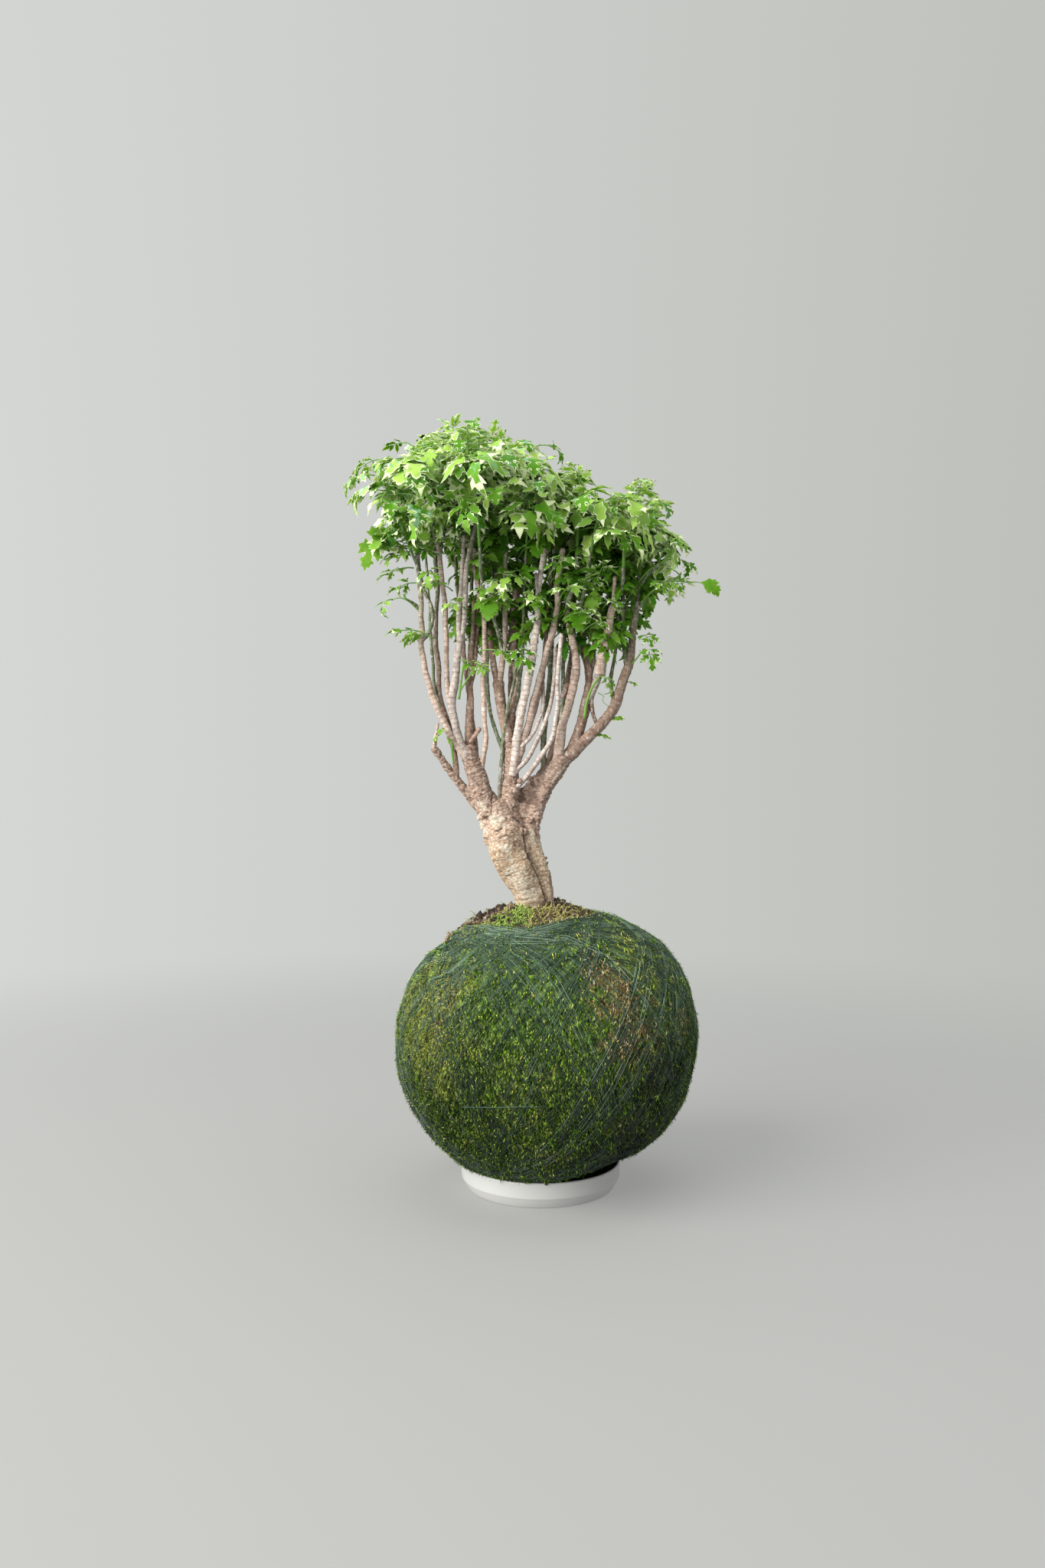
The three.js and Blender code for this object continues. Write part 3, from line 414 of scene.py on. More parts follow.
class Finish:
    """A material of one Principled shader, built up node by node."""

    def __init__(self, name):
        self.material = bpy.data.materials.new(name)
        self.material.use_nodes = True
        self.tree = self.material.node_tree
        self.shader = next(node for node in self.tree.nodes if node.type == "BSDF_PRINCIPLED")

    def feed(self, socket, value):
        if isinstance(value, Number):
            value = value.socket
        if isinstance(value, bpy.types.NodeSocket):
            self.tree.links.new(value, socket)
        elif isinstance(value, tuple) and len(value) == 3 and len(socket.default_value) == 4:
            socket.default_value = (*value, 1)
        else:
            socket.default_value = value

    def node(self, kind, settings, inputs):
        made = self.tree.nodes.new(kind)
        for key, value in settings.items():
            setattr(made, key, value)
        for key, value in inputs.items():
            self.feed(made.inputs[key], value)
        return made

    def place(self):
        return self.node("ShaderNodeTexCoord", {}, {}).outputs["Object"]

    def stretched(self, scale):
        """The place on the piece, with the grain drawn out along an axis."""
        return self.node("ShaderNodeMapping", {}, {"Vector": self.place(), "Scale": scale}).outputs[0]

    def noise(self, size, detail=3, rough=0.6, place=None):
        """Cloudy values of about 0 to 1, with grains of that size in millimetres."""
        inputs = {"Vector": place or self.place(), "Scale": 1 / (size * MM)}
        inputs |= {"Detail": detail, "Roughness": rough}
        return Number(self, self.node("ShaderNodeTexNoise", {}, inputs).outputs[0])

    def eased(self, value, low, high):
        settings = {"interpolation_type": "SMOOTHSTEP"}
        made = self.node("ShaderNodeMapRange", settings, {"Value": value, "From Min": low, "From Max": high})
        return Number(self, made.outputs[0])

    def spots(self, low, high, size, detail=3, rough=0.6, place=None):
        """Clouds that are cut to spots between a low and a high value."""
        return self.eased(self.noise(size, detail, rough, place), low, high)

    def mixed(self, share, one, other, way="MIX"):
        made = self.node("ShaderNodeMix", {"data_type": "RGBA", "blend_type": way}, {"Factor": share})
        self.feed(made.inputs[6], one)
        self.feed(made.inputs[7], other)
        return made.outputs[2]

    def tinted(self, share, one, other):
        """one times other, as far as share says."""
        return self.mixed(share, one, other, "MULTIPLY")

    def look(self):
        """The piece's own colour, and its three values and fourth value as numbers."""
        read = self.node("ShaderNodeAttribute", {"attribute_name": "look"}, {})
        parts = self.node("ShaderNodeSeparateColor", {}, {"Color": read.outputs["Color"]})
        values = [Number(self, socket) for socket in parts.outputs]
        return read.outputs["Color"], *values, Number(self, read.outputs["Alpha"])

    def bump(self, height, depth, strength=1.0):
        """depth is in millimetres."""
        inputs = {"Height": height, "Distance": depth * MM, "Strength": strength}
        self.feed(self.shader.inputs["Normal"], self.node("ShaderNodeBump", {}, inputs).outputs[0])

    def done(self, **inputs):
        for key, value in inputs.items():
            self.feed(self.shader.inputs[key.replace("_", " ")], value)
        return self.material


def glaze_finish():
    f = Finish("white_glaze")
    cloud = f.noise(22)
    colour = f.mixed(cloud, (0.5, 0.5, 0.487), (0.54, 0.54, 0.53))
    f.bump(f.noise(9, 2), 0.05, 0.5)
    return f.done(Base_Color=colour, Roughness=cloud * 0.12 + 0.3, Coat_Weight=0.12, Coat_Roughness=0.1)


def soil_finish():
    f = Finish("moist_soil")
    colour = f.mixed(f.noise(3.2, 5), (0.014, 0.009, 0.005), (0.105, 0.068, 0.04))
    f.bump(f.noise(1.1, 5), 0.8)
    return f.done(Base_Color=colour, Roughness=0.92)


def look_finish(name, size, dark, depth, roughness, gloss=0.5):
    """The colour that the corners carry, clouded and roughened at that size."""
    f = Finish(name)
    colour, *_ = f.look()
    shaded = f.tinted(f.spots(0.35, 0.7, size, 4), colour, dark)
    f.bump(f.noise(size * 0.5, 3), depth)
    return f.done(Base_Color=shaded, Roughness=roughness, Specular_IOR_Level=gloss)


def moss_finish():
    """The sheet's own colour, with fine bright and tan grains between the threads."""
    f = Finish("living_moss")
    colour, *_ = f.look()
    drawn_out = f.stretched((1.0, 1.0, 0.6))
    grain = f.noise(1.3, 2, 0.5, drawn_out)
    bright = f.mixed(f.noise(7, 3), (0.16, 0.27, 0.03), (0.4, 0.45, 0.12))
    grained = f.mixed(f.eased(grain, 0.48, 0.58) * 0.85, colour, bright)
    f.bump(grain, 0.8)
    return f.done(Base_Color=grained, Roughness=0.95, Specular_IOR_Level=0.1)


def bark_finish():
    """Golden cream bark with rust in its cracks, pinkish tan higher up, pale flakes, dark specks and painted
    shade in its hollows and recesses.
    """
    f = Finish("trunk_bark")
    place = f.place()
    height = f.node("ShaderNodeSeparateXYZ", {}, {"Vector": place}).outputs[2]
    _, pale, hollow_shade, dirt_and_shade, plates = f.look()
    across = f.stretched((1.0, 1.0, 2.1))
    grain = f.noise(2.2, 3, 0.6, across)
    mottle = f.spots(0.37, 0.52, 3.6, place=across)
    cream = f.mixed(f.noise(7, 3), (0.7, 0.55, 0.36), (0.86, 0.76, 0.6))
    low = f.mixed(mottle * 0.85 + 0.15, (0.42, 0.24, 0.11), cream)
    pink = f.mixed(mottle, (0.27, 0.155, 0.11), (0.62, 0.47, 0.37))
    flaked = f.mixed(f.spots(0.55, 0.63, 3, 4, 0.6), pink, (0.78, 0.68, 0.6))
    above = Number(f, height) + f.noise(16, 3) * 0.036
    climb = f.eased(above, 0.286, 0.318)
    bark = f.mixed(climb, low, flaked)
    foot = f.mixed(f.noise(5, 4), (0.72, 0.68, 0.5), (0.82, 0.76, 0.66))
    patched = f.mixed(pale * f.spots(0.3, 0.52, 3.4, 4), bark, foot)
    grained = f.mixed(f.eased(grain, 0.32, 0.48) * 0.4 + 0.6, (0.27, 0.15, 0.08), patched)
    cracked = f.mixed(plates * 0.72 + 0.28, (0.18, 0.095, 0.05), grained)
    specks = f.spots(0.66, 0.72, 1.2)
    specked = f.mixed(specks * 0.5, cracked, (0.12, 0.06, 0.035))
    # The darkened lines: partly the bark's own dark wrinkles, partly painted shade in the recesses between the
    # limbs
    stained_and_shaded = f.mixed(dirt_and_shade * 0.6, specked, (0.17, 0.1, 0.075))
    # Painted shade: near black in the hollows, creases and holes
    deep = f.mixed(hollow_shade * 0.8, stained_and_shaded, (0.07, 0.04, 0.03))
    darker = f.tinted(f.eased(above, 0.3, 0.352) * 0.75, deep, (0.62, 0.6, 0.6))
    f.bump(grain + f.noise(0.9, 2) * 0.2, 0.42)
    return f.done(Base_Color=darker, Roughness=f.noise(6) * 0.2 + 0.66)


def stem_finish():
    """Stem bark from the corners' colour, with ring scars, pale flakes and dark specks."""
    f = Finish("stem_bark")
    colour, *_, along = f.look()
    fine = f.stretched((1.0, 1.0, 0.55))
    phase = along * 1.5 + f.noise(7) * 4.0
    rings = phase.math("SINE", phase)
    flakes = f.spots(0.5, 0.62, 2.6, 5, 0.72, place=fine)
    worn = f.mixed(flakes * 0.6, colour, (0.76, 0.68, 0.62))
    clouds = f.tinted(f.spots(0.42, 0.7, 3.6, 4, 0.7) * 0.8, worn, (0.5, 0.38, 0.3))
    scars = f.eased(rings, 0.8, 0.97) * f.spots(0.4, 0.48, 4)
    lined = f.mixed(scars * 0.6, clouds, (0.14, 0.08, 0.05))
    specks = f.spots(0.63, 0.69, 1.3)
    specked = f.mixed(specks * 0.75, lined, (0.12, 0.06, 0.04))
    f.bump(rings * 0.2 + f.noise(1.2, 4) * 0.7 + flakes * 0.3, 0.5)
    return f.done(Base_Color=specked, Roughness=0.78)


def leaf_finish():
    """Green leaves with cream edges, by the corners' values: edge, tone, creaminess and stalk."""
    f = Finish("variegated_leaf")
    _, edge, tone, cream, stalk = f.look()
    low = f.mixed(f.eased(tone, 0.0, 0.5), (0.02, 0.09, 0.003), (0.092, 0.26, 0.01))
    blade = f.mixed(f.eased(tone, 0.4, 1.0), low, (0.4, 0.62, 0.11))
    frost = f.spots(0.54, 0.64, 9) * f.eased(cream, 0.2, 0.5)
    frosted = f.mixed(frost, blade, (0.24, 0.44, 0.27))
    mealy = f.mixed(f.eased(cream, 0.62, 0.85) * 0.75, frosted, (0.56, 0.66, 0.48))
    clouded = f.tinted(f.noise(2.2, 3) * 0.6, mealy, (0.5, 0.62, 0.42))
    wobble = edge + cream * 0.62 + f.noise(2.4, 3) * 0.36 - 0.18
    border = f.eased(wobble, 0.9, 1.04) * f.eased(cream, 0.0, 0.12)
    edged = f.mixed(border * 0.92, clouded, (0.7, 0.79, 0.46))
    colour = f.mixed(stalk, edged, (0.17, 0.31, 0.08))
    f.bump(f.noise(1.8, 2), 0.2, 0.6)
    return f.done(Base_Color=colour, Roughness=f.noise(5) * 0.15 + 0.5, Specular_IOR_Level=0.12,
                  Subsurface_Weight=0.3, Subsurface_Scale=2.5 * MM, Subsurface_Radius=(0.7, 1.0, 0.35))


def thread_finish():
    f = Finish("sewing_thread")
    colour, *_ = f.look()
    twist = f.noise(0.7, 2)
    f.bump(twist, 0.12)
    shaded = f.tinted(twist, colour, (0.5, 0.55, 0.5))
    return f.done(Base_Color=shaded, Roughness=0.6, Specular_IOR_Level=0.35)


# Moss ball


# Dents of the ball (and bulges, with a depth below 0): their spot, radius and depth, and how they fade out
DENTS = (
    ((50, -40, 20), 27, 9), ((24, -52, 16), 20, 4), ((106, -8, 62), 36, -3.5), ((-101, -10, 62), 28, 1.5),
)
DENT_FADE = (0.3, 1.25)
# The ball's top stands up at its right and sags at its left; a pair is where an easing starts and ends
SHOULDER = {"up": 6, "up_from": (-6, 20), "up_to": (62, 100), "deep": (60, 105), "heights": (160, 200)}
SAG = {"down": 7, "x": -71, "half": 13}


def shoulder(x, y):
    up = SHOULDER["up"] * shared(x, *SHOULDER["up_from"]) * (1 - shared(x, *SHOULDER["up_to"]))
    down = SAG["down"] * np.exp(-((x - SAG["x"]) / SAG["half"]) ** 2)
    return (up - down) * (1 - shared(np.abs(y), *SHOULDER["deep"]))


def ball_point(turn, rise, offset):
    """A point over the moss surface, at its turn round the axis and its rise from -1 (bottom) to 1 (top)."""
    half = np.where(rise > 0, BALL["high_half"], BALL["low_half"])
    power = np.where(rise > 0, BALL["high_power"], BALL["low_power"])
    radius = (BALL["radius"] + offset) * np.maximum(1 - rise ** 2, 1e-6) ** (power / 2)
    bowed = BALL_LEAN["middle"] + BALL_LEAN["slope"] * rise + BALL_LEAN["bow"] * rise ** 2
    blend = shared(rise, OPENING_BLEND["from"], OPENING_BLEND["from"] + OPENING_BLEND["over"])
    shift = bowed + (MOUND["x"] - bowed) * blend
    x, y = shift + radius * np.cos(turn), radius * np.sin(turn)
    height = BALL["middle_z"] + (half + offset) * rise
    height = height + shoulder(x, y) * shared(height, *SHOULDER["heights"])
    points = np.stack([x, y, height], -1)
    outward = unit(points - (0, 0, BALL["middle_z"]))
    for spot, radius, depth in DENTS:
        near = np.linalg.norm(points - spot, axis=-1) / radius
        points = points - outward * (depth * (1 - shared(near, *DENT_FADE)))[..., None]
    return points


def ball_frame(turn, rise, offset):
    """The point with its directions round the ball, up its side and outwards."""
    small = 1e-3
    around = unit(ball_point(turn + small, rise, offset) - ball_point(turn - small, rise, offset))
    lifted = np.clip(rise + small, -1, 1)
    upward = unit(ball_point(turn, lifted, offset) - ball_point(turn, lifted - 2 * small, offset))
    return ball_point(turn, rise, offset), around, upward, np.cross(around, upward)


def swell(turn, rise):
    """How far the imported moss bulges, in millimetres."""
    return layered(ball_point(turn, rise, 0), (0.8, 34, 11), (0.5, 13, 12))


EYE = np.array((SIGHT["x"], -SIGHT["distance"], SIGHT["z"]))
# Where a line of sight is walked along, as shares of the way to the ball's middle plane
SIGHT_WALK = np.linspace(0.82, 1.02, 1200)[:, None]


def on_ball(x, z):
    """The turn and rise of the spot of the ball that is seen at x and z from the front."""
    walk = EYE + SIGHT_WALK * (np.array((x, 0.0, z)) - EYE)
    half = np.where(walk[:, 2] > BALL["middle_z"], BALL["high_half"], BALL["low_half"])
    rise = np.clip((walk[:, 2] - BALL["middle_z"]) / half, -0.999, 0.999)
    right, left = (ball_point(np.array(turn), rise, 0)[:, 0] for turn in (0.0, math.pi))
    middle = (right + left) / 2
    outside = np.hypot(walk[:, 0] - middle, walk[:, 1]) - (right - middle)
    first = int(np.argmax(outside < 0)) if (outside < 0).any() else int(np.argmin(outside))
    return math.atan2(walk[first, 1], walk[first, 0] - middle[first]), float(rise[first])


# Patches of moss seen from the front: x, z, radius in millimetres, colour and share. The near-black ones at the
# lower right are painted shade
LIME = (0.53, 0.6, 0.12)
OLIVE = (0.3, 0.29, 0.07)
TAN = (0.5, 0.33, 0.18)
# Painted shade: a near-black green for the ball's shaded lower right and underside
PAINTED_SHADE = (0.012, 0.024, 0.007)
SEEN_PATCHES = (
    (-77, 153, 12, TAN, 0.75), (-86, 129, 13, TAN, 0.65), (-68, 175, 8, TAN, 0.35),
    (-91, 150, 24, LIME, 0.8), (-100, 113, 24, LIME, 0.75), (-84, 85, 22, LIME, 0.4),
    (-72, 112, 24, LIME, 0.4), (-76, 188, 16, LIME, 0.5), (78, 100, 20, OLIVE, 0.4),
    (108, 128, 22, LIME, 0.35), (98, 92, 18, OLIVE, 0.4), (-60, 165, 16, LIME, 0.3),
    (51, 171, 15, TAN, 0.8), (63, 156, 17, TAN, 0.8), (71, 134, 19, TAN, 0.7), (62, 117, 13, TAN, 0.5),
    (40, 180, 9, TAN, 0.6), (80, 112, 12, TAN, 0.35), (88, 148, 10, TAN, 0.6), (86, 126, 10, TAN, 0.45),
    (118, 132, 9, TAN, 0.5), (35, 196, 9, TAN, 0.4), (72, 192, 16, LIME, 0.6), (88, 166, 14, LIME, 0.55),
    (56, 202, 10, LIME, 0.4), (100, 180, 14, OLIVE, 0.4), (5, 81, 12, TAN, 0.12), (72, 49, 14, OLIVE, 0.5),
    (94, 78, 28, PAINTED_SHADE, 0.45), (67, 24, 34, PAINTED_SHADE, 0.6), (110, 100, 20, PAINTED_SHADE, 0.35), (-45, 208, 10, TAN, 0.4),
    (-20, 60, 26, LIME, 0.15), (5, 20, 16, LIME, 0.3),
)
# Patches round the sides and the back: turn in degrees (the front is -90), rise, radius, colour and share. The
# near-black ones low down are painted shade
FAR_PATCHES = (
    (-160, 0.4, 26, OLIVE, 0.5), (20, 0.35, 28, LIME, 0.5), (55, 0.15, 28, TAN, 0.7),
    (105, 0.45, 28, LIME, 0.45), (140, -0.1, 30, OLIVE, 0.5), (170, 0.15, 24, TAN, 0.6),
    (85, -0.5, 40, PAINTED_SHADE, 0.5), (35, -0.55, 30, OLIVE, 0.4), (-170, -0.5, 34, PAINTED_SHADE, 0.4),
    (8, 0.1, 20, TAN, 0.35), (120, 0.2, 18, TAN, 0.5),
)
PATCHES = [(*on_ball(x, z), *rest) for x, z, *rest in SEEN_PATCHES]
PATCHES += [(math.radians(turn), *rest) for turn, *rest in FAR_PATCHES]


def patch_shares(points):
    """For each point, each patch's share there, broken up by lumps."""
    broken = layered(points, (0.35, 9, 21), (0.35, 22, 22))
    shares = []
    for turn, rise, radius, _, share in PATCHES:
        middle = ball_point(np.array(turn), np.array(rise), 0)
        near = np.linalg.norm(points - middle, axis=-1) / radius
        shares.append(share * (1 - shared(near + broken, 0.5, 1.4)))
    return shares


# The moss sheet: corners round it, rings outside and inside, its colour low down and how much paler it gets up
# high (painted light from above)
SHEET = {"around": 160, "outside": 76, "inside": 12, "low": (0.02, 0.04, 0.012), "paler": 3.3, "tint": 0.4}


def flat_end(points, rows):
    """Draws rings of the ball together at its foot, where the body is closed."""
    points[rows, 0] = BALL_LEAN["middle"] - BALL_LEAN["slope"] + BALL_LEAN["bow"]
    points[rows, 1] = 0


def moss_shell(finish):
    """The moss layer as a closed shell with a lumpy outside."""
    low, high = math.asin(LOWEST_RISE), math.asin(OPENING_RISE)
    outside = np.concatenate([[-1], np.sin(np.linspace(low, high, SHEET["outside"]))])
    inside = np.concatenate([np.sin(np.linspace(high, low, SHEET["inside"])), [-1]])
    turn = np.arange(SHEET["around"]) * 2 * math.pi / SHEET["around"]
    rings = []
    for rises, offset in ((outside, 0), (inside, -MOSS_THICKNESS)):
        rise, around = np.meshgrid(rises, turn, indexing="ij")
        if offset == 0:
            offset = swell(around, rise) * (1 - shared(rise, 0.9, OPENING_RISE)) * shared(rise, -0.97, -0.9)
        points = ball_point(around, rise, offset)
        flat_end(points, rise < LOWEST_RISE - 1e-6)
        rings.append(points)
    points = np.concatenate(rings).reshape(-1, 3)
    look = np.ones((len(points), 4))
    # Painted light: the sheet gets paler from 80 to 170 mm up, as if lit from above
    look[:, :3] = np.array(SHEET["low"]) * (1 + SHEET["paler"] * shared(points[:, 2], 80, 170))[:, None]
    # The patches tint the sheet, and the near-black ones paint shade on it
    for share, (*_, colour, _) in zip(patch_shares(points), PATCHES):
        look[:, :3] += (np.array(colour) * SHEET["tint"] - look[:, :3]) * share[:, None]
    shape = Shape()
    shape.add(points, grid_faces(len(outside) + len(inside), SHEET["around"]), look)
    return shape.piece("moss_sheet", finish, ("moss_layer",))


# Moss leaflets, in millimetres; the shares are how many stand upright, lie the other way or stick out as fuzz
FLECK = {
    "length": 5.2, "half": (0.38, 0.72), "depth": (0.1, 1.6), "fold": 0.28, "lean": 0.3, "back_share": 0.3,
    "upright": 1.2, "upright_share": 0.06, "fuzz": 1.3, "fuzz_share": 0.09, "proud": 0.9,
}
FLECK_GREENS = np.array([(0.02, 0.048, 0.006), (0.08, 0.18, 0.012), (0.24, 0.44, 0.035), (0.58, 0.78, 0.16)])
FLECK_TONE = (1.26, 0.95)
FLECK_TINT = np.array((1.02, 1.0, 0.9))
# The odds that a leaflet stays: lower where thread binds the moss and in gaps, higher in patches and clumps
FLECK_ODDS = {
    "start": 1.15, "bound": 1.05, "patch": 0.7, "gap": 0.9, "gap_below": 0.62, "gap_low": 0.25, "clump": 0.75,
    "least": 0.05,
}
# A leaflet's lift in degrees: the least, what a draw adds and its skew, and what the ball's foot adds
FLECK_LIFT = {"least": 4, "more": 52, "skew": 1.8, "foot": 18}
# How bright a leaflet is at its foot, its two sides and its tip: painted shade at the foot and a painted
# highlight at the tip
FLECK_CORNER_SHADING = np.array([0.25, 0.95, 0.95, 1.5])
FLECK_FACES = ((0, 3, 1), (0, 2, 3), (0, 1, 2), (3, 2, 1))
# Leaflets drawn for each half of the ball: their count, seed, lowest and highest rise
FLECK_RUNS = {"low": (37000, 301, -0.93, 0.05), "high": (41000, 302, 0.05, 0.95)}


def moss_flecks(name, finish, count, seed, low_rise, high_rise):
    """Leaflets of moss that stand out between and over the threads, each a folded closed sliver."""
    chance = np.random.default_rng(seed)
    rise = chance.uniform(low_rise, high_rise, count)
    turn = chance.uniform(-math.pi, math.pi, count)
    points, around, upward, outward = ball_frame(turn, rise, swell(turn, rise))
    clumps = 0.5 + 0.5 * lumps(points * (1, 1, 0.4), 5, 31) + 0.3 * lumps(points, 17, 32)
    patchy = np.max(patch_shares(points), axis=0)
    bound = shared(rise + 0.12 * lumps(points, 30, 33), 0.05, 0.95)
    clump = shared(clumps, 0.45, 0.95)
    o = FLECK_ODDS
    gaps = o["gap"] * (o["gap_below"] - clumps) * (o["gap_low"] + bound)
    odds = o["start"] - o["bound"] * bound + o["patch"] * patchy - gaps + o["clump"] * bound * clump
    keep = chance.random(count) < np.clip(odds, o["least"], 1)
    points, around, upward, outward = (rows[keep] for rows in (points, around, upward, outward))
    rise, clumps, total = rise[keep], clumps[keep], int(keep.sum())
    proud = (clump * bound)[keep]
    low_down = shared(-rise, 0.8, 0.9)

    lean = chance.normal(0, FLECK["lean"], total)[:, None]
    lean = lean + np.pi * (chance.random(total) < FLECK["back_share"])[:, None]
    along = unit(-upward * np.cos(lean) + around * np.sin(lean))
    across = np.cross(outward, along)
    lift = FLECK_LIFT["least"] + FLECK_LIFT["more"] * chance.random(total) ** FLECK_LIFT["skew"]
    lift = np.radians(lift + FLECK_LIFT["foot"] * low_down)[:, None]
    lift = np.where(chance.random((total, 1)) < FLECK["upright_share"], FLECK["upright"], lift)
    way = along * np.cos(lift) + outward * np.sin(lift)
    top = outward * np.cos(lift) - along * np.sin(lift)
    size = (0.55 + 0.45 * chance.random(total)) * (1 + 0.12 * proud)
    size *= 1 + 0.8 * (low_down * (points[:, 0] < 20))
    length = (FLECK["length"] * size)[:, None]
    half = (chance.uniform(*FLECK["half"], total) * size)[:, None]
    high = shared(-rise, -0.5, 0.5)[:, None]
    fuzz = (chance.random(total) < FLECK["fuzz_share"])[:, None] * FLECK["fuzz"]
    depth = chance.uniform(*FLECK["depth"], (total, 1)) + 0.5 * high
    middle = points + outward * depth * (0.7 + 0.4 * clumps[:, None])
    middle += outward * (fuzz + FLECK["proud"] * proud[:, None])
    foot = middle - way * 0.45 * length
    tip = middle + way * 0.55 * length
    left = middle + across * half - top * FLECK["fold"] * half
    right = middle - across * half - top * FLECK["fold"] * half
    corners = np.stack([foot, left, right, tip + top * 0.15], 1).reshape(-1, 3)
    base = np.arange(total)[:, None] * 4
    faces = np.concatenate([base + np.array(face) for face in FLECK_FACES])

    tone = np.clip(chance.normal(*FLECK_TONE, total) + 0.9 * (clumps - 0.55), 0, 2.999)
    step = tone.astype(int)
    paler = FLECK_GREENS[step + 1] - FLECK_GREENS[step]
    colour = FLECK_GREENS[step] + paler * (tone - step)[:, None]
    # Leaflets take the patches' colours, so the near-black ones paint shade on them too
    for share, (*_, patch, _) in zip(patch_shares(points), PATCHES):
        taken = (chance.random(total) < share * 1.15)[:, None]
        colour = np.where(taken, np.array(patch) * chance.uniform(0.4, 1.4, (total, 1)), colour)
    uneven = np.exp(0.95 * lumps(points * (1, 1, 0.4), 2.6, 34) + 0.4 * lumps(points * (1, 1, 0.5), 7, 35))
    # Painted light: leaflets are brighter higher up and towards the left, as if lit from the upper left, and
    # brighter where clumps stand proud
    painted_light_and_clumps = 0.85 + 0.6 * shared(rise, -0.3, 0.6) + 0.3 * proud + 0.2 * shared(-points[:, 0], 30, 90)
    colour *= (uneven * painted_light_and_clumps)[:, None] * FLECK_TINT
    look = np.ones((total, 4, 4))
    look[:, :, :3] = np.minimum(colour, 0.8)[:, None] * FLECK_CORNER_SHADING[None, :, None]
    shape = Shape()
    shape.add(corners, faces, look.reshape(-1, 4))
    return shape.piece(name, finish, smooth=False)


# Thread: turns of thin thread, whose planes just miss the opening and the flat spot below. It runs in strands
# side by side; tilts are in degrees, and offset is its height over the moss and the most that a turn adds
THREAD = {
    "turns": 390, "strands": 3, "steps": 40, "half": 0.22, "height": 0.42, "least_tilt": 19.6,
    "more_tilt": 30, "tilt_skew": (1.0, 2.6), "apart": 0.0032, "tilt_apart": 0.1, "aside": 2.2, "offset": 0.9,
    "top_rise": 0.947, "dark": (0.03, 0.06, 0.038), "pale": (0.18, 0.235, 0.165),
}
# Loose runs on the ball: offset, radius, step and colour, and points (x, z) seen from the front
LOOSE_THREAD = (3.0, 0.15, 3, (0.13, 0.24, 0.22, 1), ((-62, 64), (-42, 63.8), (-24, 64), (-8, 64.3), (2, 64)))
ROOTLETS = (
    (1.6, 0.35, 1, (0.5, 0.42, 0.26, 1), ((6.5, 215), (7.2, 211), (7.6, 208.5))),
    (1.8, 0.35, 1, (0.5, 0.42, 0.26, 1), ((17.5, 208), (21, 209.3), (26, 212), (29, 213))),
)


def thread_turns(finish):
    """The winding: each turn a closed triangular run of thread round the ball, in its own plane."""
    chance = np.random.default_rng(404)
    count, steps, strands = THREAD["turns"], THREAD["steps"], THREAD["strands"]
    bundles = count // strands
    turn = np.repeat(chance.uniform(0, 2 * math.pi, bundles), strands)
    turn = turn + chance.normal(0, THREAD["apart"], count)
    tilt = np.repeat(chance.beta(*THREAD["tilt_skew"], bundles), strands)
    tilt = THREAD["least_tilt"] + THREAD["more_tilt"] * tilt
    tilt = np.radians(tilt + np.abs(chance.normal(0, THREAD["tilt_apart"], count)))[:, None, None]
    turn = turn[:, None, None]
    aside = np.radians(np.abs(chance.normal(0, THREAD["aside"], count)))[:, None, None]
    level = np.concatenate([-np.sin(turn), np.cos(turn), 0 * turn], -1)
    normal = np.concatenate([np.cos(turn) * np.cos(tilt), np.sin(turn) * np.cos(tilt), np.sin(tilt)], -1)
    steep = np.cross(normal, level)
    angle = (np.arange(steps) * 2 * math.pi / steps)[None, :, None]
    way = unit(level * np.cos(angle) + steep * np.sin(angle) + normal * np.sin(aside))
    around = np.arctan2(way[..., 1], way[..., 0])
    rise = np.clip(way[..., 2], -THREAD["top_rise"], THREAD["top_rise"])
    offset = THREAD["offset"] + THREAD["offset"] * chance.random((count, 1))
    offset = offset + swell(around, rise) * (1 - shared(rise, 0.85, 0.93))
    line, _, _, outward = ball_frame(around, rise, offset)
    ahead = unit(np.roll(line, -1, 1) - np.roll(line, 1, 1))
    across = np.cross(outward, ahead) * THREAD["half"]
    rings = np.stack([line - across, line + across, line + outward * THREAD["height"]], 2)
    ring_faces = grid_faces(steps, 3, closed_rows=True)
    faces = (np.arange(count)[:, None, None] * steps * 3 + ring_faces[None]).reshape(-1, 3)
    tone = (0.75 * np.repeat(chance.random(bundles), strands) + 0.25 * chance.random(count))[:, None]
    colour = np.array(THREAD["dark"]) + tone ** 2.2 * np.array(THREAD["pale"])
    # Painted light: the thread is paler higher up, as if lit from above
    paler = np.repeat(0.5 + 0.84 * shared(rise, -0.6, 0.75), 3, axis=1)
    drawn = np.exp(0.5 * lumps(rings.reshape(count, -1, 3), 6, 38))[:, :, None]
    look = np.ones((count, steps * 3, 4))
    look[:, :, :3] = np.minimum(colour[:, None] * paler[:, :, None] * drawn, 1)
    shape = Shape()
    shape.add(rings.reshape(-1, 3), faces, look.reshape(-1, 4))
    return shape.piece("wound_thread", finish, ("thread_winding",))


def loose_threads(finish):
    """One pale level thread across the lower front, and two pale rootlets at the mound's foot."""
    shape = Shape()
    for offset, radius, step, colour, run in (LOOSE_THREAD, *ROOTLETS):
        spots = [on_ball(x, z) for x, z in run]
        points = [ball_point(np.array(turn), np.array(rise), offset) for turn, rise in spots]
        line, _ = smooth_line(points, step)
        shape.add(*tube(line, np.full(len(line), radius), 4), colour)
    return shape.piece("loose_threads", finish)


# Soil and moss of the mound


def mound_height(x, y):
    bowed = MOUND["bow"] * ((x - MOUND["x"]) ** 2 + y ** 2)
    return MOUND["top_z"] - bowed + shoulder(x, y)


# The soil body: corners round it, rings up its side and over its mound, and its roughness
SOIL = {
    "around": 120, "side": 24, "top": 44, "rough": ((1.3, 9, 41), (0.7, 3.4, 42)),
    "colour": (0.05, 0.03, 0.02, 1),
}


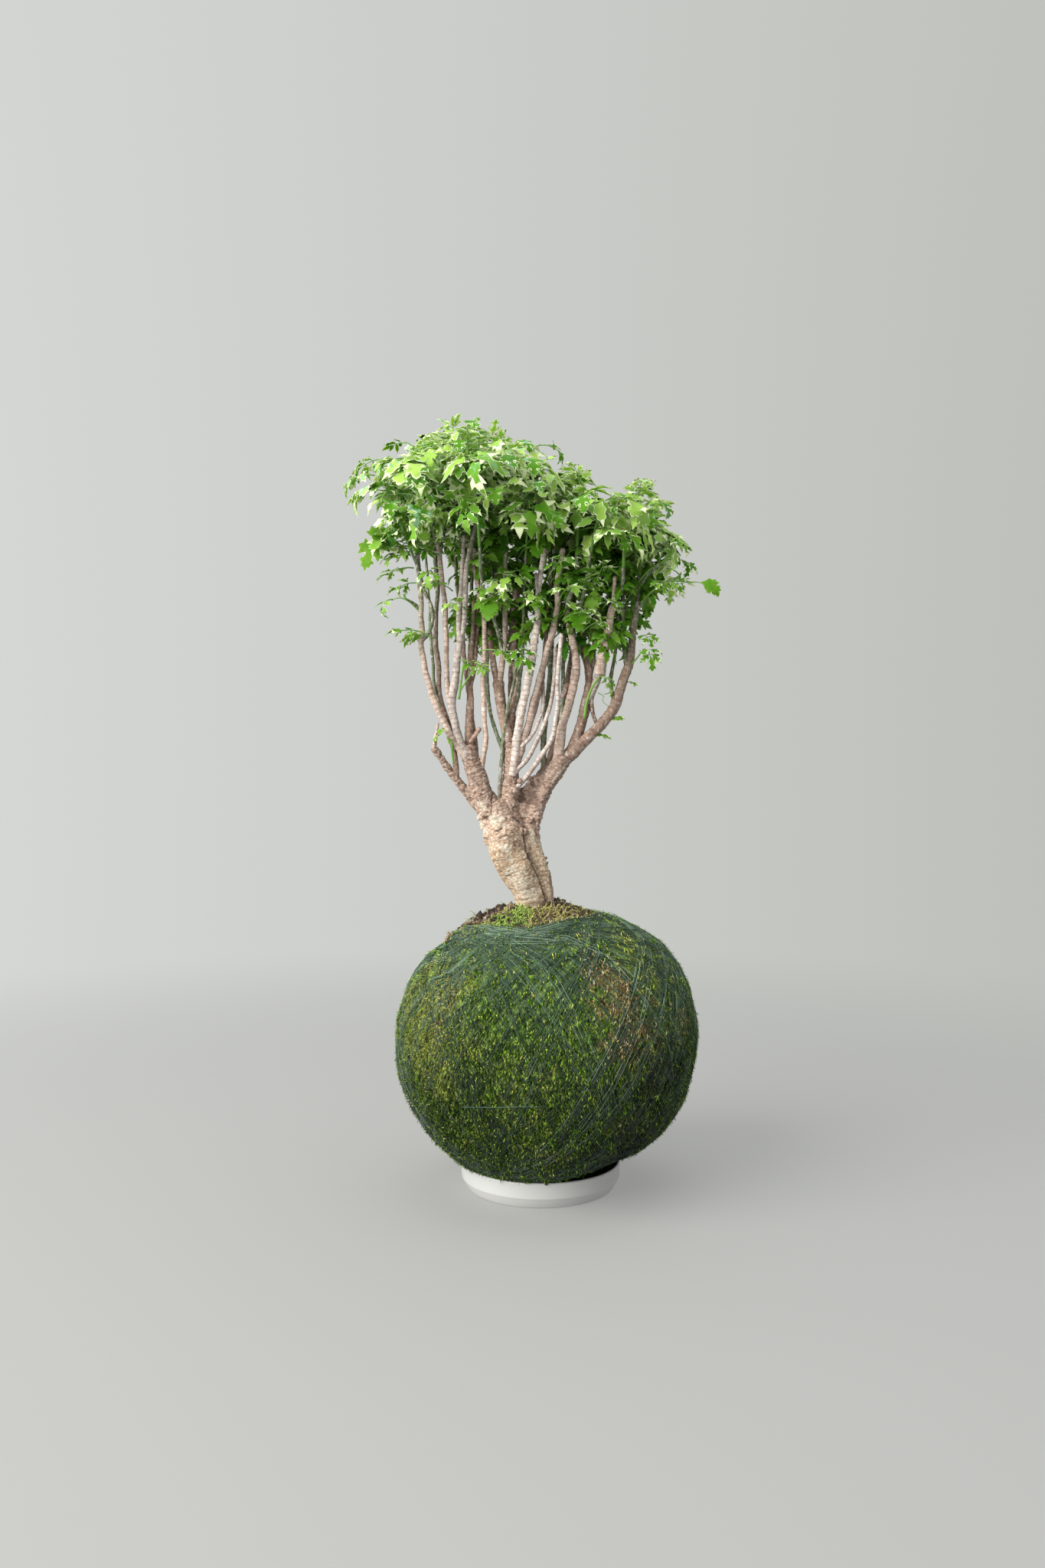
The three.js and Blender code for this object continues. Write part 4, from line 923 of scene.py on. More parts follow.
def soil_body(finish):
    """The soil core with its crumbly mound."""
    low, high = math.asin(LOWEST_RISE), math.asin(OPENING_RISE)
    side = np.concatenate([[-1], np.sin(np.linspace(low, high, SOIL["side"]))])
    turn = np.arange(SOIL["around"]) * 2 * math.pi / SOIL["around"]
    rise, around = np.meshgrid(side, turn, indexing="ij")
    wall = ball_point(around, rise, -MOSS_THICKNESS - SEAT_GAP)
    flat_end(wall, rise == -1)
    radii, around = np.meshgrid(np.linspace(MOUND["edge_radius"], 0, SOIL["top"]), turn, indexing="ij")
    x, y = MOUND["x"] + radii * np.cos(around), radii * np.sin(around)
    top = np.stack([x, y, mound_height(x, y)], -1)
    top[..., 2] += layered(top, *SOIL["rough"]) * (1 - shared(radii, 46, 49)) * shared(radii, 0, 4)
    shape = Shape()
    points = np.concatenate([wall, top]).reshape(-1, 3)
    shape.add(points, grid_faces(len(side) + len(radii), SOIL["around"]), SOIL["colour"])
    return shape.piece("soil_ball", finish, ("soil_core",))


def mound_place(radius, turn):
    """A point on the mound, which runs on over the opening's edge onto the ball."""
    x = MOUND["x"] + radius * np.cos(turn)
    y = radius * np.sin(turn)
    spread = np.clip(radius / BALL["radius"], 0, 0.99) ** (2 / BALL["high_power"])
    beyond = BALL["middle_z"] + BALL["high_half"] * np.sqrt(1 - spread) - 0.3 + shoulder(x, y)
    return np.stack([x, y, np.where(radius < MOUND["edge_radius"], mound_height(x, y), beyond)], -1)


# The twelve corners of a crumb's round form: a top, two rings of five, and a bottom
CRUMB_CORNERS = np.array([
    (0, 0, 1), (0.94, 0, 0.3), (0.29, 0.89, 0.3), (-0.76, 0.55, 0.3), (-0.76, -0.55, 0.3), (0.29, -0.89, 0.3),
    (0.76, 0.55, -0.5), (-0.29, 0.89, -0.5), (-0.94, 0, -0.5), (-0.29, -0.89, -0.5), (0.76, -0.55, -0.5),
    (0, 0, -1),
])
# Crumbs: their count, distances from the mound's middle, turns round it in radians (0 is right) and size
CRUMB_SPREADS = (
    (460, (14, 52), (2.35, 4.0), 2.1), (330, (44, 66), (2.4, 3.9), 1.4), (200, (11, 30), (-0.8, 0.9), 1.9),
    (300, (12, 48), (0.3, 2.4), 2.0), (130, (24, 50), (-0.9, 0.2), 1.3), (90, (30, 52), (-2.6, -1.0), 1.0),
    (70, (14, 26), (2.9, 3.7), 2.6), (160, (50, 64), (0.2, 2.4), 1.2), (70, (24, 46), (2.5, 3.5), 2.9),
    (26, (44, 58), (2.75, 3.4), 3.3),
)
# Colours of crumbs, and the draws above which a crumb is grit or bark, which lies more at the left
CRUMB = {
    "soil": (0.04, 0.024, 0.013), "grit": (0.5, 0.48, 0.44), "bark": (0.25, 0.17, 0.105), "grit_above": 0.985,
    "bark_above": 0.8, "bark_above_left": 0.66, "left_from": 2, "size": (0.35, 1.0), "big": 0.8,
    "big_share": 0.06, "corners": (0.65, 1.2), "stretch": (0.6, 1.15), "sunk": 0.35,
}


def crumbs(finish):
    """Crumbs of soil, bark and grit that lie thickest on the mound's left and round the trunk's foot."""
    chance = np.random.default_rng(515)
    rounds = [(k + 1, (k + 1) % 5 + 1) for k in range(5)]
    faces = [(0, k, after) for k, after in rounds]
    faces += [(k, k + 5, after) for k, after in rounds]
    faces += [(after, k + 5, after + 5) for k, after in rounds]
    faces += [(11, after + 5, k + 5) for k, after in rounds]
    shape = Shape()
    for count, near_far, sweep, size in CRUMB_SPREADS:
        for _ in range(count):
            spot = mound_place(chance.uniform(*near_far), chance.uniform(*sweep))
            radius = size * chance.uniform(*CRUMB["size"])
            radius *= 1 + CRUMB["big"] * (chance.random() < CRUMB["big_share"])
            bumpy = CRUMB_CORNERS * chance.uniform(*CRUMB["corners"], (12, 1))
            bumpy *= chance.uniform(*CRUMB["stretch"], 3)
            x, y = turned(bumpy[:, 0], bumpy[:, 1], chance.uniform(0, 2 * math.pi))
            lump = np.stack([x, y, bumpy[:, 2]], 1) * radius
            kind = chance.random()
            colour = np.array(CRUMB["soil"]) * chance.uniform(0.4, 1.6)
            if kind > CRUMB["grit_above"]:
                colour = np.array(CRUMB["grit"])
            elif kind > CRUMB["bark_above_left" if sweep[0] > CRUMB["left_from"] else "bark_above"]:
                colour = np.array(CRUMB["bark"]) * chance.uniform(0.4, 1.4)
            shape.add(spot + (0, 0, radius * CRUMB["sunk"]) + lump, faces, (*colour, 1))
    return shape.piece("soil_crumbs", finish, smooth=False)


STRAND = {"steps": 4, "sides": 3, "bend": 0.45, "droop": 0.16, "tip": 0.3}


def strand(shape, root, way, length, radius, curl, colours):
    """A curling strand that thins to its tip, from its first colour to its second."""
    steps, sides = STRAND["steps"], STRAND["sides"]
    bend = unit(np.cross(way, curl)) * STRAND["bend"]
    line = [root]
    for k in range(steps):
        way = unit(way + bend - np.array((0, 0, STRAND["droop"] * k)))
        line.append(line[-1] + way * length / steps)
    points, faces = tube(np.array(line), np.linspace(radius, radius * STRAND["tip"], steps + 1), sides)
    share = np.append(np.repeat(np.linspace(0, 1, steps + 1), sides), (0, 1))[:, None]
    low, high = np.array(colours)
    colour = low + (high - low) * share
    shape.add(points, faces, np.concatenate([colour, np.ones((len(points), 1))], 1))


# Colours of moss strands, at the foot and at the tip
GREEN_MOSS = ((0.08, 0.17, 0.02), (0.48, 0.62, 0.13))
YELLOW_MOSS = ((0.17, 0.15, 0.04), (0.58, 0.53, 0.16))
STRAW_MOSS = ((0.2, 0.13, 0.07), (0.55, 0.4, 0.22))
# Strands: their count, distances from the mound's middle, turns round it in radians, colours and length
TUFT_SPREADS = (
    (520, (13, 54), (-2.5, -1.55), GREEN_MOSS, 6.6), (300, (16, 55), (-1.62, -0.75), YELLOW_MOSS, 5.4),
    (180, (22, 56), (-0.9, 0.1), YELLOW_MOSS, 5.0), (180, (24, 56), (-1.7, -0.5), STRAW_MOSS, 4.4),
    (280, (36, 70), (-3.4, -2.4), STRAW_MOSS, 4.6), (140, (20, 54), (0.2, 1.9), YELLOW_MOSS, 5.2),
    (160, (22, 56), (1.7, 3.1), GREEN_MOSS, 5.6), (120, (46, 64), (-2.5, -1.7), GREEN_MOSS, 4.0),
    (170, (46, 66), (-1.7, -0.3), YELLOW_MOSS, 4.0), (120, (46, 72), (-0.9, 0.5), STRAW_MOSS, 3.6),
)
TUFT = {
    "sunk": 0.6, "spread": (0.75, 0.75, 0.35), "upright": 0.75, "shade": (0.6, 1.2), "length": (0.5, 1.15),
    "radius": 0.62,
}
# Upright sprigs at the mound's outline: x, lean and length
MOUND_SPRIGS = ((-56, 0.0, 9), (-52, 0.25, 12), (-49, -0.3, 7), (48, 0.15, 7), (34, -0.2, 6), (-30, 0.5, 8))


def mound_tufts(finish):
    """Curly moss: bright green in front, yellow-brown at the right, thin olive at the left and behind."""
    chance = np.random.default_rng(616)
    shape = Shape()
    for count, near_far, sweep, colours, length in TUFT_SPREADS:
        for _ in range(count):
            root = mound_place(chance.uniform(*near_far), chance.uniform(*sweep)) - (0, 0, TUFT["sunk"])
            way = unit(chance.normal(size=3) * TUFT["spread"] + (0, 0, TUFT["upright"]))
            shade = chance.uniform(*TUFT["shade"])
            tints = [tuple(value * shade for value in colour) for colour in colours]
            grown = length * chance.uniform(*TUFT["length"])
            strand(shape, root, way, grown, TUFT["radius"], chance.normal(size=3), tints)
    for x, lean, length in MOUND_SPRIGS:
        root = mound_place(abs(x - MOUND["x"]), math.pi if x < 0 else 0.0)
        for lift, way, share, radius, curl in ((0, (lean, -0.2, 1.0), 1, 0.5, (0.1, 1.0, 0.2)),
                                               (3, (-0.6, 0.1, 1.0), 0.5, 0.4, (0, 1, 0))):
            foot, way = root + (0, 0, lift), unit(np.array(way))
            strand(shape, foot, way, length * share, radius, np.array(curl), GREEN_MOSS)
    return shape.piece("mound_tufts", finish, ("mound_moss",))


# Trunk and stems


def at_depth(x, y, z):
    """A point seen at x and z from the front, at its own depth y."""
    reach = 1 + y / SIGHT["distance"]
    return np.array((SIGHT["x"] + (x - SIGHT["x"]) * reach, y, SIGHT["z"] + (z - SIGHT["z"]) * reach))


def stem_points(depths, points):
    near, far = depths
    shares = [(k / (len(points) - 1)) ** 2 for k in range(len(points))]
    return np.array([at_depth(x, near + (far - near) * share, z) for share, (x, z) in zip(shares, points)])


BASE_STEMS = (
    "trunk_main", "trunk_side", "crotch", "limb_left", "limb_middle", "limb_back", "limb_right", "far_left",
    "front_knob",
)
# Cream, pink, brown, grey and green bark
BARK_COLOURS = (
    (0.62, 0.48, 0.35), (0.56, 0.43, 0.35), (0.34, 0.225, 0.165), (0.6, 0.53, 0.48), (0.15, 0.21, 0.11),
)

# Knots and warts of the trunk: x, z from the front, depth, radius
KNOTS = (
    (-14, 289, -12, 2.8), (-9, 297, -11, 2.6), (-35, 291, -15, 3.6), (-44, 296, -6, 3.2),
    (-47, 302, -3, 2.6), (4.6, 267, -1, 1.5), (6, 263, -1, 1.3), (7.4, 251, -1, 1.2), (7.6, 244, 0, 1.3),
    (-22, 321, -13.5, 4.2), (-34, 276, 12, 3), (-18, 262, 12, 2.6), (-3, 300, 8, 3), (-50, 318, -9, 3.2),
    (-45, 279.5, -4, 2.2), (-52, 330, -8, 2.2), (-48, 300, -4, 4), (-41, 268, -3, 1.8), (-52, 305, -4, 1.3),
    (-46, 293, -4, 3.4), (-43, 287, -4, 2.4), (-8, 331, -12, 3.2), (4, 321, -8, 2.2), (-17, 330, -12, 2.6),
)
# Marks of the trunk as seen from the front: points (x, z), radius, depth of the dent, and what it looks like.
# Darkened hollows are painted shade in dents, creases and holes; darkened lines are partly the bark's own
# wrinkles and partly painted shade in the recesses between the limbs
PALE, SHADED_HOLLOW, DIRT_AND_SHADE = range(3)
MARKS = (
    (((-13.6, 291), (-13.2, 283), (-11.2, 273), (-8.8, 266), (-4.8, 258), (-0.8, 250), (2.4, 240),
      (4.4, 231)), 1.3, 2.2, SHADED_HOLLOW),
    (((-9, 270), (-6, 264)), 2.2, 1.2, SHADED_HOLLOW),
    (((-28, 251.3), (-23.5, 253.5), (-19.2, 256)), 0.8, 0.7, DIRT_AND_SHADE),
    (((-34, 283), (-28, 285.5), (-21.6, 283)), 0.8, 0.6, DIRT_AND_SHADE),
    (((-35, 280), (-28, 282), (-20, 279)), 0.8, 0.5, DIRT_AND_SHADE),
    (((-40, 270), (-34, 272), (-28, 269)), 0.7, 0.5, DIRT_AND_SHADE),
    (((-38, 264), (-30, 265), (-24, 262)), 0.7, 0.5, DIRT_AND_SHADE),
    (((-26, 242), (-16, 240), (-6, 243)), 0.5, 0.3, DIRT_AND_SHADE),
    (((-24, 234), (-14, 232.5), (-4, 235)), 0.5, 0.3, DIRT_AND_SHADE),
    (((-38, 288.5), (-34.5, 289), (-31.5, 291)), 0.8, 1.1, SHADED_HOLLOW),
    (((-21.6, 279), (-15, 276)), 2.6, 0.3, DIRT_AND_SHADE),
    (((-55, 315.5), (-51, 313.5), (-48, 315)), 0.7, 0.9, DIRT_AND_SHADE),
    (((-31, 331), (-38, 324.5), (-40, 315), (-40.5, 303)), 0.7, 1.0, SHADED_HOLLOW),
    (((-19, 316), (-24, 306), (-25, 299)), 0.6, -0.5, DIRT_AND_SHADE),
    (((-17, 316), (-10, 313), (-3, 315)), 3.0, 1.0, DIRT_AND_SHADE), (((-8, 331), (-6, 326)), 2.0, 1.2, SHADED_HOLLOW),
    (((-22, 300), (-17, 296)), 1.2, 0.8, SHADED_HOLLOW), (((-7, 302), (-4, 294), (-3, 286)), 1.0, 0.8, DIRT_AND_SHADE),
    (((-24, 338), (-23.6, 337)), 1.6, 1.6, SHADED_HOLLOW), (((-40, 299), (-34, 297)), 4.6, -0.5, PALE),
    (((-31, 276), (-27, 275)), 3.4, -0.3, PALE), (((-22, 254), (-16, 246), (-10, 238)), 8.5, 0.0, PALE),
    (((-27, 267), (-24, 263)), 2.4, -0.3, PALE), (((-50, 312), (-47, 308)), 3.0, 0.0, PALE),
    (((-8, 288), (-5, 280)), 2.4, -0.2, PALE),
    (((5, 268), (7, 258), (8.5, 246), (9.5, 234)), 1.3, 0.0, DIRT_AND_SHADE),
    (((-14, 290), (-13.5, 287)), 1.2, 0.6, DIRT_AND_SHADE), (((-54, 303), (-50, 297), (-46, 289)), 2.4, -0.5, PALE),
    (((-10, 229.5), (2, 229.5)), 2.2, 0.0, DIRT_AND_SHADE),
    (((-8, 333), (0, 340), (8, 349), (14, 356)), 4.6, 0.6, SHADED_HOLLOW),
    (((-7, 320), (-2, 312)), 3.2, 0.8, DIRT_AND_SHADE), (((10, 330), (18, 339), (27, 350)), 1.2, -0.4, PALE),
    (((-47, 322), (-58, 334)), 1.2, 0.3, DIRT_AND_SHADE),
)


def crackle(points, size):
    """0 in the cracks between plates of about that size, and 1 on the plates."""
    plates = np.empty(len(points))
    for k, point in enumerate(points / size):
        near, _ = noise.voronoi(point)
        plates[k] = near[1] - near[0]
    return shared(plates, 0.02, 0.3)


def bark_radii(radii, places, sides, seed, depth, gap):
    """A stem's radii, ring by ring and corner by corner, with ring scars and lumps."""
    chance = np.random.default_rng(seed)
    smooth = np.interp(places / places[-1], np.linspace(0, 1, len(radii)), radii)
    scars = np.zeros(len(places))
    spot = chance.uniform(1, gap)
    while spot < places[-1]:
        scars += depth * chance.uniform(0.4, 1.1) * np.exp(-(((places - spot) / (0.16 * gap)) ** 2))
        spot += gap * chance.uniform(0.5, 1.5)
    turn = np.arange(sides) * 2 * math.pi / sides
    wave = np.sin(turn[None] * 2 + places[:, None] / (gap * 1.7) + chance.uniform(0, 6))
    wave += np.sin(turn[None] * 3 - places[:, None] / (gap * 1.1) + chance.uniform(0, 6))
    return smooth[:, None] * (1 + 0.045 * wave) + scars[:, None]


# The trunk's base before it is melted: its tubes' sides and step, how far the two feet go down into the soil,
# the depth and gap of its ring scars, and how far each limb's rings are shifted against the last one's
BASE = {"sides": 26, "step": 1.2, "sunk": 20, "scar": 0.55, "scar_gap": 5.5, "shift": 41}
# The web of wood between two limbs
WEB = {"line": ((-18, 5, 312), (-9, 7, 322), (2, 6, 332)), "radii": (8, 4), "sides": 20}
# A knot's rings as shares of its radius: how high and how wide they are
KNOT_RINGS = ((-0.9, 0.4), (-0.6, 0.8), (0, 1), (0.6, 0.8), (0.9, 0.4))
KNOT_SIDES = 12
MELT = {"grain": 0.92, "soften": 0.5, "rounds": 2}
# Heights between which the trunk's smooth foot turns rough, and between which its rings begin
ROUGH_FROM = (238, 262)
RINGED_FROM = (255, 300)
# Bark: its level wrinkles and its bumps (height, size and seed), its plates and its rings, and how much
# flatter all of them are at the foot
WRINKLES = (0.3, 6.5, 71)
WRINKLE_SQUASH = (0.7, 0.7, 2.2)
BUMPS = ((0.25, 4.2, 72), (0.35, 12, 73))
PLATE = {"size": 3.4, "squash": (1, 1, 1.9), "height": 0.55}
RING = {"pace": 2.0, "wander": 2.2, "wander_pace": 0.37, "height": 0.55}
FOOT_FLATTER = 0.6


def melted(made):
    """Melts a piece's overlapping tubes into one soft body."""
    melt = made.modifiers.new("melt", "REMESH")
    melt.mode = "VOXEL"
    melt.voxel_size = MELT["grain"] * MM
    soften = made.modifiers.new("soften", "SMOOTH")
    soften.factor = MELT["soften"]
    soften.iterations = MELT["rounds"]
    bpy.context.view_layer.objects.active = made
    for modifier in ("melt", "soften"):
        bpy.ops.object.modifier_apply(modifier=modifier)
    return made.data


def base_tubes(shape):
    """The trunk's tubes, web and knots, and the points of the tubes' middles with their way along."""
    cores = []
    rows = {row[0]: row for row in STEMS}
    plain = (0, 0, 0, 1)
    for k, name in enumerate(BASE_STEMS):
        _, radii, depths, points, *_ = rows[name]
        path = stem_points(depths, points)
        if name in ("trunk_main", "trunk_side"):
            path = np.vstack([path[:1] - (0, 0, BASE["sunk"]), path])
            radii = (radii[0], *radii)
        line, places = smooth_line(path, BASE["step"])
        cores += [(spot, place + BASE["shift"] * k) for spot, place in zip(line, places)]
        rings = bark_radii(radii, places, BASE["sides"], 700 + k, BASE["scar"], BASE["scar_gap"])
        shape.add(*tube(line, rings, BASE["sides"]), plain)
    web, places = smooth_line([at_depth(*spot) for spot in WEB["line"]], BASE["step"])
    shape.add(*tube(web, np.interp(places, (0, places[-1]), WEB["radii"]), WEB["sides"]), plain)
    for x, z, depth, radius in KNOTS:
        middle = at_depth(x, depth, z)
        line = np.array([middle + (0, 0, height * radius) for height, _ in KNOT_RINGS])
        shape.add(*tube(line, np.array([width for _, width in KNOT_RINGS]) * radius, KNOT_SIDES), plain)
    return cores


def bark_relief(points, cores):
    """How high the bark stands at each point, and how light it is: dark in cracks and between rings."""
    tree = KDTree(len(cores))
    for k, (spot, _) in enumerate(cores):
        tree.insert(spot, k)
    tree.balance()
    along = np.array([cores[tree.find(point)[1]][1] for point in points]) + 0.9 * lumps(points, 9, 76)
    rings = 0.5 + 0.5 * np.sin(along * RING["pace"] + RING["wander"] * np.sin(along * RING["wander_pace"]))
    ringed = shared(points[:, 2], *RINGED_FROM) * rings
    plates = crackle(points * PLATE["squash"] + 0.5 * lumps(points, 6, 75)[:, None], PLATE["size"])
    relief = layered(points * WRINKLE_SQUASH, WRINKLES)
    for bumps in BUMPS:
        relief += layered(points, bumps)
    relief += PLATE["height"] * plates - 0.25 + RING["height"] * ringed - 0.25
    relief *= 1 - FOOT_FLATTER * (1 - shared(points[:, 2], *ROUGH_FROM))
    return relief, plates * (0.6 + 0.4 * ringed) + 0.4 * ringed * (1 - plates)


def mark_shares(points, mesh):
    """For each mark, how far each point lies in it as seen from the front, its dent and its kind."""
    skin = BVHTree.FromPolygons(points.tolist(), [tuple(face.vertices) for face in mesh.polygons])
    for run, radius, dent, kind in MARKS:
        walk, _ = smooth_line([(x, 0, z) for x, z in run], 0.8)
        struck = [skin.ray_cast(EYE, Vector(spot - EYE).normalized())[0] for spot in walk]
        struck = np.array([tuple(spot) for spot in struck if spot is not None])
        near = np.min(np.linalg.norm(points[:, None] - struck[None], axis=2), axis=1) / radius
        yield 1 - shared(near + 0.25 * lumps(points, 4, 74), 0.5, 1.3), dent, kind


def trunk_base(finish):
    """The trunk and its limbs: ringed tubes and knots melted into one body, then cracked and wrinkled."""
    shape = Shape()
    cores = base_tubes(shape)
    made = shape.piece("trunk_base", finish, ("trunk",))
    mesh = melted(made)
    points, normals = (np.empty(len(mesh.vertices) * 3, np.float32) for _ in range(2))
    mesh.vertices.foreach_get("co", points)
    mesh.vertex_normals.foreach_get("vector", normals)
    points = points.reshape(-1, 3).astype(float) / MM
    look = np.zeros((len(points), 4))
    relief, look[:, 3] = bark_relief(points, cores)
    for share, dent, kind in mark_shares(points, mesh):
        look[:, kind] = np.maximum(look[:, kind], share)
        relief -= dent * share
    points += normals.reshape(-1, 3) * relief[:, None]
    mesh.vertices.foreach_set("co", (points * MM).astype(np.float32).ravel())
    if "look" in mesh.attributes:
        mesh.attributes.remove(mesh.attributes["look"])
    read = mesh.attributes.new("look", "FLOAT_COLOR", "POINT")
    read.data.foreach_set("color", look.astype(np.float32).ravel())
    mesh.update()
    mesh.shade_smooth()
    return made


# Thin stems: those that start above "thick" have more sides and deeper scars. All wander a little, and a cut
# end is first swollen, then drawn in. They turn green towards a shoot, and brown between two heights low down
STEM = {
    "step": 1.7, "thick": 2.8, "sides": (6, 10), "scar": (0.3, 0.42), "scar_gap": 6.5, "wander": 0.5,
    "wander_run": 22, "lumps": 0.07, "lump_run": 9, "cut_end": 0.72, "cut_swell": 1.07, "green_from": 0.35,
    "green": 0.85, "brown_to": (315, 372), "brown": 0.5, "shade": (0.68, 1.1), "mottled": 0.16,
}


def stem_tubes(finish):
    """The thinner stems, each a ringed tube that wanders a little and ends in its cut or its shoot."""
    shape = Shape()
    pink = np.array(BARK_COLOURS[PINK])
    for k, (name, radii, depths, points, growth, bark) in enumerate(STEMS):
        if name in BASE_STEMS:
            continue
        thick = radii[0] > STEM["thick"]
        sides = STEM["sides"][thick]
        line, places = smooth_line(stem_points(depths, points), STEM["step"])
        wander = shared(places, 0, 12) * (1 - shared(places, places[-1] - 10, places[-1]))
        for axis in range(2):
            line[:, axis] += STEM["wander"] * wander * lumps(line, STEM["wander_run"], 800 + 2 * k + axis)
        chance = np.random.default_rng(900 + k)
        rings = bark_radii(radii, places, sides, 850 + k, STEM["scar"][thick], STEM["scar_gap"])
        rings *= 1 + STEM["lumps"] * lumps(np.repeat(line[:, None], sides, 1), STEM["lump_run"], 880 + k)
        if growth == CUT:
            rings[-1] *= STEM["cut_end"]
            rings[-4:-1] *= STEM["cut_swell"]
        points, faces = tube(line, rings, sides)
        base = np.array(BARK_COLOURS[bark])
        higher = np.array(BARK_COLOURS[GREEN if growth != CUT or bark == GREEN else bark])
        climb = shared(places / places[-1], STEM["green_from"], 1.0)
        climb = np.append(np.repeat(climb, sides), (0, 1))[:, None]
        low_brown = 1 - shared(points[:, 2], *STEM["brown_to"])[:, None]
        colour = base + (higher - base) * climb * STEM["green"]
        colour = colour + (pink * 0.75 - colour) * low_brown * STEM["brown"]
        mottled = 1 + STEM["mottled"] * lumps(points, 11, 860 + k)
        colour = colour * chance.uniform(*STEM["shade"]) * mottled[:, None]
        distance = np.append(np.repeat(places, sides), (0, places[-1]))[:, None]
        shape.add(points, faces, np.concatenate([np.clip(colour, 0, 1), distance], 1))
    return shape.piece("stem_tubes", finish)


# Leaves


def crown_edge(table, x):
    return float(np.interp(x, *zip(*table)))


def shoot_line(depths, points, growth):
    """The line that a shoot grows along from its stem's end."""
    path = stem_points(depths, points)
    end = path[-1]
    way = unit(end - path[-2])
    x, z = points[-1]
    length = growth
    if growth == CROWN:
        shy = (depths[1] - CROWN_MIDDLE[1]) / CROWN_DEPTH
        length = (crown_edge(CROWN_TOP, x) - z - SHOOT["below"]) * (1 - SHOOT["back_share"] * shy * shy)
    out = SHOOT["spread"] * (end[:2] - CROWN_MIDDLE)
    start = end + way * SHOOT["gap"]
    middle = start + way * length * SHOOT["straight"]
    tip = middle + unit(np.array((*out, 1.0))) * length * (1 - SHOOT["straight"])
    return smooth_line([start, middle, tip], 0.5)


def leaf_point(leaf, u, v, w):
    """A point of the leaf from its length u, its side v and its height w, bent along its arch."""
    bend = -leaf["fall"] / leaf["length"]
    angle = leaf["rise"] + bend * u
    forward = (np.sin(angle) - math.sin(leaf["rise"])) / bend
    upward = (math.cos(leaf["rise"]) - np.cos(angle)) / bend
    side, normal = turned(v, w - LEAF["droop"] * v * v, leaf["roll"])
    x, y = turned(forward - normal * np.sin(angle), side, leaf["bearing"])
    return np.stack([x, y, upward + normal * np.cos(angle)], -1) + leaf["root"]


def posed_leaf(root, bearing, rise, fall, length, half, roll=0.0):
    """A leaf's root and pose: its bearing and roll in radians, its rise and fall in degrees."""
    return {"root": root, "bearing": bearing, "rise": math.radians(rise), "fall": math.radians(fall),
            "length": length, "half": half, "roll": roll}


def leaf_plan(index, line, places, small):
    """The leaves that a shoot could carry, by the seeded draws of the stem's place in the table."""
    draw = draws(SEED["first"] + SEED["step"] * index)
    outward = math.atan2(line[0][1] - CROWN_MIDDLE[1], line[0][0] - CROWN_MIDDLE[0])

    def drawn(pair):
        return pair[0] + pair[1] * next(draw)

    def bearing(turn, spread):
        return outward + math.radians(turn + spread * (next(draw) - 0.5))

    def root(height):
        return np.array([np.interp(height * places[-1], places, line[:, k]) for k in range(3)])

    plan = []
    for height, turn in LEAF_PLACES:
        way = bearing(turn, LEAF["turn_spread"])
        rise = drawn(LEAF["rise"]) + (LEAF["top_rise"] if height == 1 else 0)
        fall = drawn(LEAF["fall"])
        length = drawn(LEAF["small_length" if small else "length"])
        half = length * drawn(LEAF["half_share"])
        roll = math.radians(LEAF["roll_spread"] * (next(draw) - 0.5))
        plan.append(posed_leaf(root(height), way, rise, fall, length, half, roll))
    for height, turn, rise, length in YOUNG_LEAVES:
        way = bearing(turn, YOUNG["turn_spread"])
        grown = length * drawn(YOUNG["length_share"])
        plan.append(posed_leaf(root(height), way, rise, YOUNG["fall"], grown, YOUNG["half_share"] * length))
    return plan


def inside_crown(leaf):
    """Whether a leaf stays inside the crown's uneven outline as seen from the front."""
    for u, v in TRIED_PLACES:
        spot = leaf_point(leaf, u * leaf["length"], v * leaf["half"], 0.0)
        reach = 1 + spot[1] / SIGHT["distance"]
        x = SIGHT["x"] + (spot[0] - SIGHT["x"]) / reach
        z = SIGHT["z"] + (spot[2] - SIGHT["z"]) / reach
        uneven = sum(height * math.sin(x / run + shift) for height, run, shift in CROWN_UNEVEN)
        low, top = crown_edge(CROWN_LOW, x) + uneven, crown_edge(CROWN_TOP, x) + uneven
        if not CROWN_SIDE[0] < x < CROWN_SIDE[1] or not low < z < top:
            return False
    return True


# Leaflets as shares of their length: the half outline from foot to tip, and points inside that half
CUT_LEAFLET = (
    ((0.0, 0.012), (0.16, 0.03), (0.28, 0.1), (0.36, 0.25), (0.46, 0.27), (0.62, 0.42), (0.61, 0.27),
     (0.56, 0.16), (0.63, 0.11), (0.74, 0.2), (0.9, 0.26), (0.85, 0.13), (0.97, 0.09), (1.14, 0.0)),
    ((0.26, 0.06), (0.37, 0.14), (0.47, 0.2), (0.575, 0.32), (0.61, 0.07), (0.74, 0.11), (0.83, 0.185),
     (0.88, 0.05)),
)
FAN_LEAFLET = (
    ((0.0, 0.02), (0.18, 0.14), (0.32, 0.34), (0.44, 0.36), (0.56, 0.48), (0.62, 0.4), (0.74, 0.45),
     (0.72, 0.31), (0.7, 0.22), (0.84, 0.34), (0.9, 0.25), (1.0, 0.26), (0.97, 0.14), (1.08, 0.1),
     (1.14, 0.0)),
    ((0.2, 0.07), (0.34, 0.24), (0.54, 0.41), (0.68, 0.38), (0.5, 0.15), (0.79, 0.27), (0.94, 0.21),
     (0.98, 0.05)),
)
LANCE_LEAFLET = (
    ((0.0, 0.015), (0.16, 0.06), (0.28, 0.18), (0.4, 0.16), (0.54, 0.24), (0.62, 0.15), (0.76, 0.17),
     (0.86, 0.08), (1.08, 0.0)),
    ((0.27, 0.1), (0.47, 0.13), (0.7, 0.1)),
)
